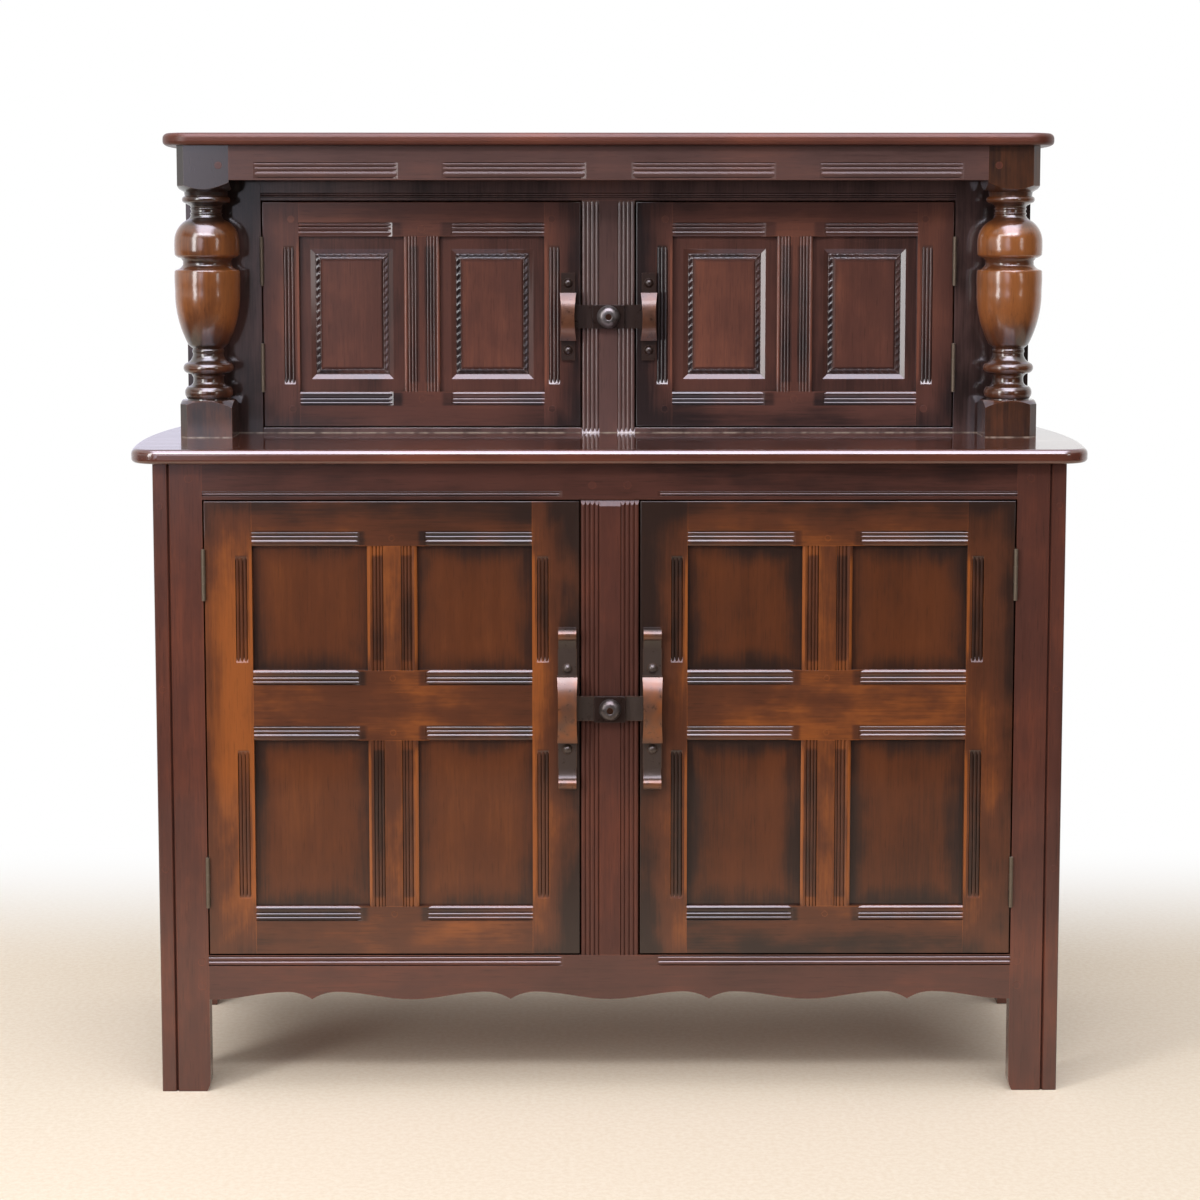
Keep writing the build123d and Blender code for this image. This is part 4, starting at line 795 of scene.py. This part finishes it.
def metal(name, ground, rubbed, stand, roughness, metallic, wax=0.0):
    """Worn iron. stand gives the depths in Y at which the wear starts and is full."""
    material, tree, shader = new_material(name)
    spot = position_of(tree)
    mottle = noise(tree, spot, *mottle_grain)
    patch = noise(tree, spot, *patch_grain)
    edge = step(tree, arrises(tree, iron_arris_radius), *iron_arris_span)
    proud = step(tree, parts_of(tree, spot)["Y"], *stand)
    worn = sum_up(tree, "MULTIPLY", proud, step(tree, patch, *patch_wear))
    worn = sum_up(tree, "MULTIPLY_ADD", edge, iron_arris_share, worn)
    worn = sum_up(tree, "MULTIPLY", worn, step(tree, mottle, *mottle_wear), clamp=True)
    tone = mixed(tree, worn, ground, rubbed)
    # Painted shade: hollows are darkened by ambient occlusion, as grime and as shade.
    grime_and_shade = step(tree, hollows(tree, iron_reach), *iron_grime_and_shade_span)
    grime_and_shade = sum_up(tree, "MULTIPLY", grime_and_shade, iron_grime_and_shade_share)
    feed(tree, shader.inputs["Base Color"], mixed(tree, grime_and_shade, tone, iron_grime_and_shade))
    dull = step(tree, mottle, *mottle_roughness, roughness - smoother, roughness + rougher)
    feed(tree, shader.inputs["Roughness"], dull)
    bump = place(tree, "Bump", {"Height": mottle, **iron_bump})
    feed(tree, shader.inputs["Normal"], bump.outputs["Normal"])
    shader.inputs["Metallic"].default_value = metallic
    shader.inputs["Specular IOR Level"].default_value = iron_specular
    shader.inputs["Coat Weight"].default_value = wax
    shader.inputs["Coat Roughness"].default_value = wax_blur
    return material


def in_front(node, start, full):
    """Where the wear starts and is full, as depths behind the front-most point of a piece."""
    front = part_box(node)[0].y
    return (front + start, front + full)


print("metal ready")

# %% [markdown]
# ## The ironwork, piece by piece
# The lower handles are the coppery ones and the upper handles the browner ones. On a latch only
# the domed boss is worn, to a steely grey. The heads of the pivot screws and the hinges are worn
# at their edges alone, so their wear starts at a depth in front of everything.

# %% Metals
black_iron = colour(70, 58, 52)
copper_iron = colour(128, 74, 40)
brown_iron = colour(50, 36, 31)
bronze_iron = colour(104, 66, 46)
bare_iron = colour(112, 106, 105)
edges_alone = (-1.0, -2.0)
lower_grip = in_front("lower_left_door_handle", 17 * mm, 5 * mm)
upper_grip = in_front("upper_left_door_handle", 14 * mm, 4 * mm)
lower_boss = in_front("lower_latch_turn", 11.4 * mm, 11.0 * mm)
upper_boss = in_front("upper_latch_turn", 11.4 * mm, 11.0 * mm)
iron = {
    "lower": metal("iron_lower_handles", black_iron, copper_iron, lower_grip, 0.3, 0.25, wax=0.4),
    "upper": metal("iron_upper_handles", brown_iron, bronze_iron, upper_grip, 0.3, 0.25, wax=0.4),
    "lower latch": metal("iron_lower_latch", brown_iron, bare_iron, lower_boss, 0.3, 0.6),
    "upper latch": metal("iron_upper_latch", brown_iron, bare_iron, upper_boss, 0.3, 0.6),
    "screw": metal("iron_screws", colour(56, 34, 24), colour(150, 100, 66), edges_alone, 0.35, 0.7),
    "steel": metal("steel_hinges", colour(104, 92, 78), colour(146, 132, 112), edges_alone, 0.42, 0.5),
}
print(len(iron), "metals")

# %% [markdown]
# ## Which piece is made of what
# The names of the pieces say what they are, so the material follows from the name: the row of
# doors that a piece belongs to, and whether its grain runs upright or across.


# %% Material of a piece
def look_for(name):
    """The material of a CAD piece, from what the piece is."""
    row = "lower" if name.startswith("lower") else "upper"
    if name.endswith("_handle"):
        return iron[row]
    if name.endswith("_latch_turn"):
        return iron[row + " latch"]
    if name == "latch_pivots":
        return iron["screw"]
    if "hinge" in name:
        return iron["steel"]
    if name.startswith("post_"):
        return oak["post"]
    if name == "top_board":
        return oak["top board"]
    if name == "middle_board":
        return oak["board"]
    if name.endswith("_door_panels"):
        return oak[row + " panel"]
    if "_door_" in name:
        return oak[row + (" up" if name.endswith(("_stiles", "_muntins")) else " across")]
    if name in ("base_back", "cabinet_back"):
        return oak["back"]
    if name in ("base_floor", "base_shelf", "shelf_bearers"):
        return oak["inner"]
    if name.startswith("end_rails"):
        return oak["frame deep"]
    if name.startswith("cabinet_") and name != "cabinet_ends":
        return oak["cabinet"]
    if name == "frieze_rail":
        return oak["frieze"]
    if name == "base_top_rail":
        return oak["frame painted_shading"]
    if name == "base_muntin":
        return oak["base muntin"]
    if "rail" in name:
        return oak["frame across"]
    return oak["frame up"]


print("the middle board is", look_for("middle_board").name)

# %% [markdown]
# ## Dressing the pieces
# A sawn or turned arris is never razor sharp. Each piece gets a hair-thin bevel with weighted
# normals, so that its edges catch the light. Modifiers do it, because the meshes of the CAD pieces
# stay as they are.

# %% Assign materials and ease the edges
weld_reach = 0.005 * mm
wood_bevel = 0.45 * mm
iron_bevel = 0.9 * mm
bevel_steps = 2
bevel_angle = math.radians(40)


def ease(piece, width):
    """Weld the split corners, round the arrises a little and even out the normals."""
    weld = piece.modifiers.new("weld", "WELD")
    weld.merge_threshold = weld_reach
    bevel = piece.modifiers.new("eased arris", "BEVEL")
    bevel.width = width
    bevel.segments = bevel_steps
    bevel.limit_method = "ANGLE"
    bevel.angle_limit = bevel_angle
    bevel.use_clamp_overlap = True
    bevel.harden_normals = False
    normals = piece.modifiers.new("weighted normals", "WEIGHTED_NORMAL")
    normals.keep_sharp = True


for name, piece in nodes.items():
    piece.data.materials.clear()
    piece.data.materials.append(look_for(name))
    ease(piece, iron_bevel if name.endswith("_handle") else wood_bevel)
print("dressed", len(nodes), "pieces")

# %% [markdown]
# ## The nicks round the fields
# A carver has run a gouge round each field of the upper doors and left a row of slanting nicks, like
# the strokes of a rope. Bump alone would vanish at the joint of slope and valley, so each row is a
# thin strip of real relief. It follows the foot of the slope and the floor of the valley, and four
# strips meet in mitres. The nicks are deeper on the upright sides.

# %% Relief of a strip
nick_inner = 42.0 * mm
nick_start = nick_inner - field_half[0]
nick_wide = 6.8 * mm
nick_pitch = 10.0 * mm
nick_lean = 0.55
nick_lift = 0.12 * mm
nick_crest = 0.72
nick_climb = 1.4
nick_fade = 0.6
slope_foot = 4.4 * mm
slope_drop = 3.6 * mm
strip_steps = 9
strip_stride = 0.55 * mm


def nick_height(along, across, rise):
    """Height of the relief: it climbs slowly, falls steeply and dies out at both sides."""
    turn = (along / nick_pitch + nick_lean * across) % 1.0
    falling = (1.0 - turn) / (1.0 - nick_crest)
    climb = (turn / nick_crest) ** nick_climb if turn < nick_crest else falling
    return rise * climb * math.sin(math.pi * across) ** nick_fade


def nick_strip(centre, floor_y, side, rise):
    """Points and faces of one strip. side is the way it looks out from the field, in X and Z."""
    outward = field_half[0] if side[0] else field_half[1]
    half_long = field_half[1] if side[0] else field_half[0]
    rows = 2 * round(half_long / strip_stride)
    points = []
    for i in range(rows + 1):
        share = 2.0 * i / rows - 1.0
        for j in range(strip_steps + 1):
            across = j / strip_steps
            out = nick_start + nick_wide * across
            along = share * (half_long + out)
            away = outward + out
            y = floor_y - max(slope_foot - out, 0.0) / slope_foot * slope_drop
            y -= nick_lift + nick_height(along + half_long, across, rise)
            x = side[0] * away + side[1] * along
            z = side[1] * away - side[0] * along
            points.append((centre[0] + x, y, centre[1] + z))
    step_on = strip_steps + 1
    faces = [
        (a, a + step_on, a + step_on + 1, a + 1)
        for a in (i * step_on + j for i in range(rows) for j in range(strip_steps))
    ]
    return points, faces


print("a strip starts", round(nick_start / mm, 2), "mm outside the field")

# %% [markdown]
# ## One piece of nicks for each upper door
# A door has two fields with four strips each. They become one mesh that rides on its door, and a
# Solidify modifier gives it a little thickness behind the relief.

# %% Nicked strips
upright_rise = 1.2 * mm
level_rise = 0.7 * mm
nick_sides = (
    ((1, 0), upright_rise), ((0, 1), level_rise), ((-1, 0), upright_rise), ((0, -1), level_rise),
)
strip_thickness = 0.5 * mm


def nicked_fields(door, sign):
    """One piece with the strips of both fields of a door."""
    floor_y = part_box(door + "_panels")[0].y + slope_drop
    points, faces = [], []
    for x in upper_columns:
        for side, rise in nick_sides:
            more, linked = nick_strip((sign * x, upper_rows[0][0]), floor_y, side, rise)
            faces += [tuple(v + len(points) for v in face) for face in linked]
            points += more
    mesh = bpy.data.meshes.new(door + "_nicks")
    mesh.from_pydata(points, [], faces)
    mesh.shade_smooth()
    piece = bpy.data.objects.new(door + "_nicks", mesh)
    bpy.context.scene.collection.objects.link(piece)
    body = piece.modifiers.new("body", "SOLIDIFY")
    body.thickness = strip_thickness
    body.offset = -1.0
    mesh.materials.append(oak["nicks"])
    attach(piece, door)
    return piece


for door, sign in (("upper_left_door", -1), ("upper_right_door", 1)):
    nicks = nicked_fields(door, sign)
    facing = nicks.data.polygons[0].normal
    print(nicks.name, len(nicks.data.polygons), "faces, facing", tuple(round(c, 2) for c in facing))

# %% [markdown]
# ## Floor
# A plain beige floor that melts into white behind the cupboard and all round it. The white part is
# a plain glow for the eye and for reflections, so that it needs no more light than the cupboard
# gets, and the near part keeps the soft shadow. Towards the viewer the floor is darker for
# reflections and for the light that it throws back, so that the polished doors mirror a dim room,
# while the eye still sees it pale.

# %% Floor
floor_radius = 2.1
floor_sides = 96
floor_sunk = 0.2 * mm
speckle_grain = (140.0, 3.0, 0.7)
speckle_span = (0.3, 0.7)
back_fade = (0.30, 1.1)
round_fade = (1.1, 1.7)
dim_fade = (-0.55, -1.6)
dim_share = 0.75


def sees_background(tree, rays):
    """1 for the rays that show the background: camera, mirror and glass."""
    seen = sum_up(tree, "MAXIMUM", rays["Is Camera Ray"], rays["Is Glossy Ray"])
    return sum_up(tree, "MAXIMUM", seen, rays["Is Transmission Ray"])


bpy.ops.mesh.primitive_circle_add(
    vertices=floor_sides, radius=floor_radius, fill_type="NGON", location=(0, 0, -floor_sunk))
floor = bpy.context.object
floor.name = "floor"
floor_material, tree, shader = new_material("floor")
rays = place(tree, "LightPath").outputs
position = position_of(tree)
speckle = step(tree, noise(tree, position, *speckle_grain), *speckle_span)
beige = mixed(tree, speckle, colour(235, 219, 198), colour(243, 230, 212))
depth = parts_of(tree, position)["Y"]
dim = step(tree, depth, *dim_fade, 0.0, dim_share)
dim = sum_up(tree, "MULTIPLY", dim, opposite(tree, rays["Is Camera Ray"]))
feed(tree, shader.inputs["Base Color"], mixed(tree, dim, beige, BLACK))
shader.inputs["Roughness"].default_value = 0.8
shader.inputs["Specular IOR Level"].default_value = 0.1
far_back = step(tree, depth, *back_fade)
far_round = step(tree, vector_sum(tree, "LENGTH", position), *round_fade)
far = sum_up(tree, "MULTIPLY", far_back, sees_background(tree, rays))
far = sum_up(tree, "MAXIMUM", far, sum_up(tree, "MULTIPLY", far_round, rays["Is Camera Ray"]))
glow = place(tree, "Emission", {"Color": WHITE, "Strength": 1.0})
blend = place(tree, "MixShader", {0: far, 1: shader.outputs[0], 2: glow.outputs[0]})
output = next(n for n in tree.nodes if n.type == "OUTPUT_MATERIAL")
tree.links.new(blend.outputs[0], output.inputs["Surface"])
floor.data.materials.append(floor_material)
print("floor", round(2 * floor_radius, 2), "m across")

# %% [markdown]
# ## Lamps
# Dark polish shows its lamps more than its colour. A tall soft light from the left draws the long
# streak on each post, a weaker one from the right fills its shadow, and three panels under the
# ceiling light what tilts upward, such as beads, bevels and the edges of the boards.


# %% Lamps
def softbox(name, spot, target, size, radiance):
    """A soft rectangle that is equally bright whatever its size."""
    lamp = bpy.data.objects.new(name, bpy.data.lights.new(name, "AREA"))
    bpy.context.scene.collection.objects.link(lamp)
    lamp.data.shape = "RECTANGLE"
    lamp.data.size = size[0]
    lamp.data.size_y = size[1]
    lamp.data.energy = radiance * math.pi * size[0] * size[1]
    lamp.location = spot
    lamp.rotation_euler = (Vector(target) - Vector(spot)).to_track_quat("-Z", "Y").to_euler()
    lamp.visible_camera = False
    return lamp


middle = (0.0, 0.0, 0.65)
softbox("key", (-2.55, -2.7, 1.9), middle, size=(0.8, 2.8), radiance=9.5)
softbox("fill", (2.6, -3.2, 1.5), middle, size=(0.6, 1.3), radiance=4.0)
panel_columns = (-1.4, -0.1, 1.2)
panel_turn = 0.4
for number, x in enumerate(panel_columns, start=1):
    softbox("ceiling_panel_%d" % number, (x, -2.9, 3.1), (x * panel_turn, 0.0, 0.7),
            size=(1.1, 0.5), radiance=8.0)
print(2 + len(panel_columns), "lamps")

# %% [markdown]
# ## The room
# Flat faces look straight ahead into the room, so the room in front is dim, apart from a pale
# window at the left, which greys the left end. All that tilts upward looks at a bright ceiling. For
# mirror rays alone a brighter patch lies there, so that waxed beads and edges glint as they do
# under real lamps, and the light on the wood stays plain. The world's direction vector tells front
# from back, side from side and ceiling from floor. The eye itself sees plain white.

# %% Levels of the room
dim_level = 0.05
ceiling_level = 1.25
ceiling_rise = (0.40, 0.70)
glint_level = 10.0
glint_rise = (0.38, 0.56)
glint_sides = (0.50, 0.26)
window_level = 0.5
window_edge = (-0.05, -0.13)
bright_window_level = 2.6
bright_window_edge = (-0.138, -0.152)
window_end = (-0.50, -0.30)
window_foot = (-0.14, 0.03)
window_head = (0.40, 0.22)
window_tint = (0.86, 0.84, 1.0, 1.0)
side_level = 0.8
side_edge = (-0.35, -0.60)
low_back_level = 0.03
back_level = 0.5
back_rise = (0.22, 0.60)
front_to_back = (-0.10, 0.35)
print("ceiling is", ceiling_level / dim_level, "times as bright as the room in front")

# %% [markdown]
# ## The room as a world shader
# Each part of the room is a smooth step over one direction, and the parts are added up. The cool
# tint belongs to the window and to the glints alone.

# %% World
room = bpy.data.worlds.new("room")
room.use_nodes = True
bpy.context.scene.world = room
tree = room.node_tree
tree.nodes.clear()
way = parts_of(tree, place(tree, "TexCoord").outputs["Generated"])
rays = place(tree, "LightPath").outputs
glints = step(tree, way["Z"], *glint_rise, 0.0, glint_level)
from_middle = sum_up(tree, "ABSOLUTE", way["X"])
glints = sum_up(tree, "MULTIPLY", glints, step(tree, from_middle, *glint_sides))
ceiling = step(tree, way["Z"], *ceiling_rise, 0.0, ceiling_level)
ceiling = sum_up(tree, "MULTIPLY_ADD", glints, rays["Is Glossy Ray"], ceiling)
window = step(tree, way["X"], *window_edge, 0.0, window_level)
bright_window = step(tree, way["X"], *bright_window_edge, 0.0, bright_window_level)
window = sum_up(tree, "ADD", window, bright_window)
window = sum_up(tree, "MULTIPLY", window, step(tree, way["X"], *window_end))
above_foot = step(tree, way["Z"], *window_foot)
upright = sum_up(tree, "MULTIPLY", above_foot, step(tree, way["Z"], *window_head))
window = sum_up(tree, "MULTIPLY", window, upright)
side = sum_up(tree, "MULTIPLY", step(tree, way["X"], *side_edge), upright)
front = sum_up(tree, "ADD", ceiling, dim_level)
front = sum_up(tree, "MULTIPLY_ADD", side, side_level, front)
front = sum_up(tree, "ADD", window, front)
back = step(tree, way["Z"], *back_rise, low_back_level, back_level)
back = sum_up(tree, "MAXIMUM", back, sees_background(tree, rays))
level = mixed(tree, step(tree, way["Y"], *front_to_back), front, back)
level = sum_up(tree, "MAXIMUM", level, rays["Is Camera Ray"])
unseen_window = sum_up(tree, "MULTIPLY", window, opposite(tree, rays["Is Camera Ray"]))
cool = sum_up(tree, "MULTIPLY", glints, rays["Is Glossy Ray"])
cool = sum_up(tree, "ADD", unseen_window, cool)
tint = mixed(tree, step(tree, cool, 0.0, 1.0), WHITE, window_tint)
sky = place(tree, "Background", {"Color": tint, "Strength": level})
place(tree, "OutputWorld", {"Surface": sky.outputs[0]})
print("room ready")
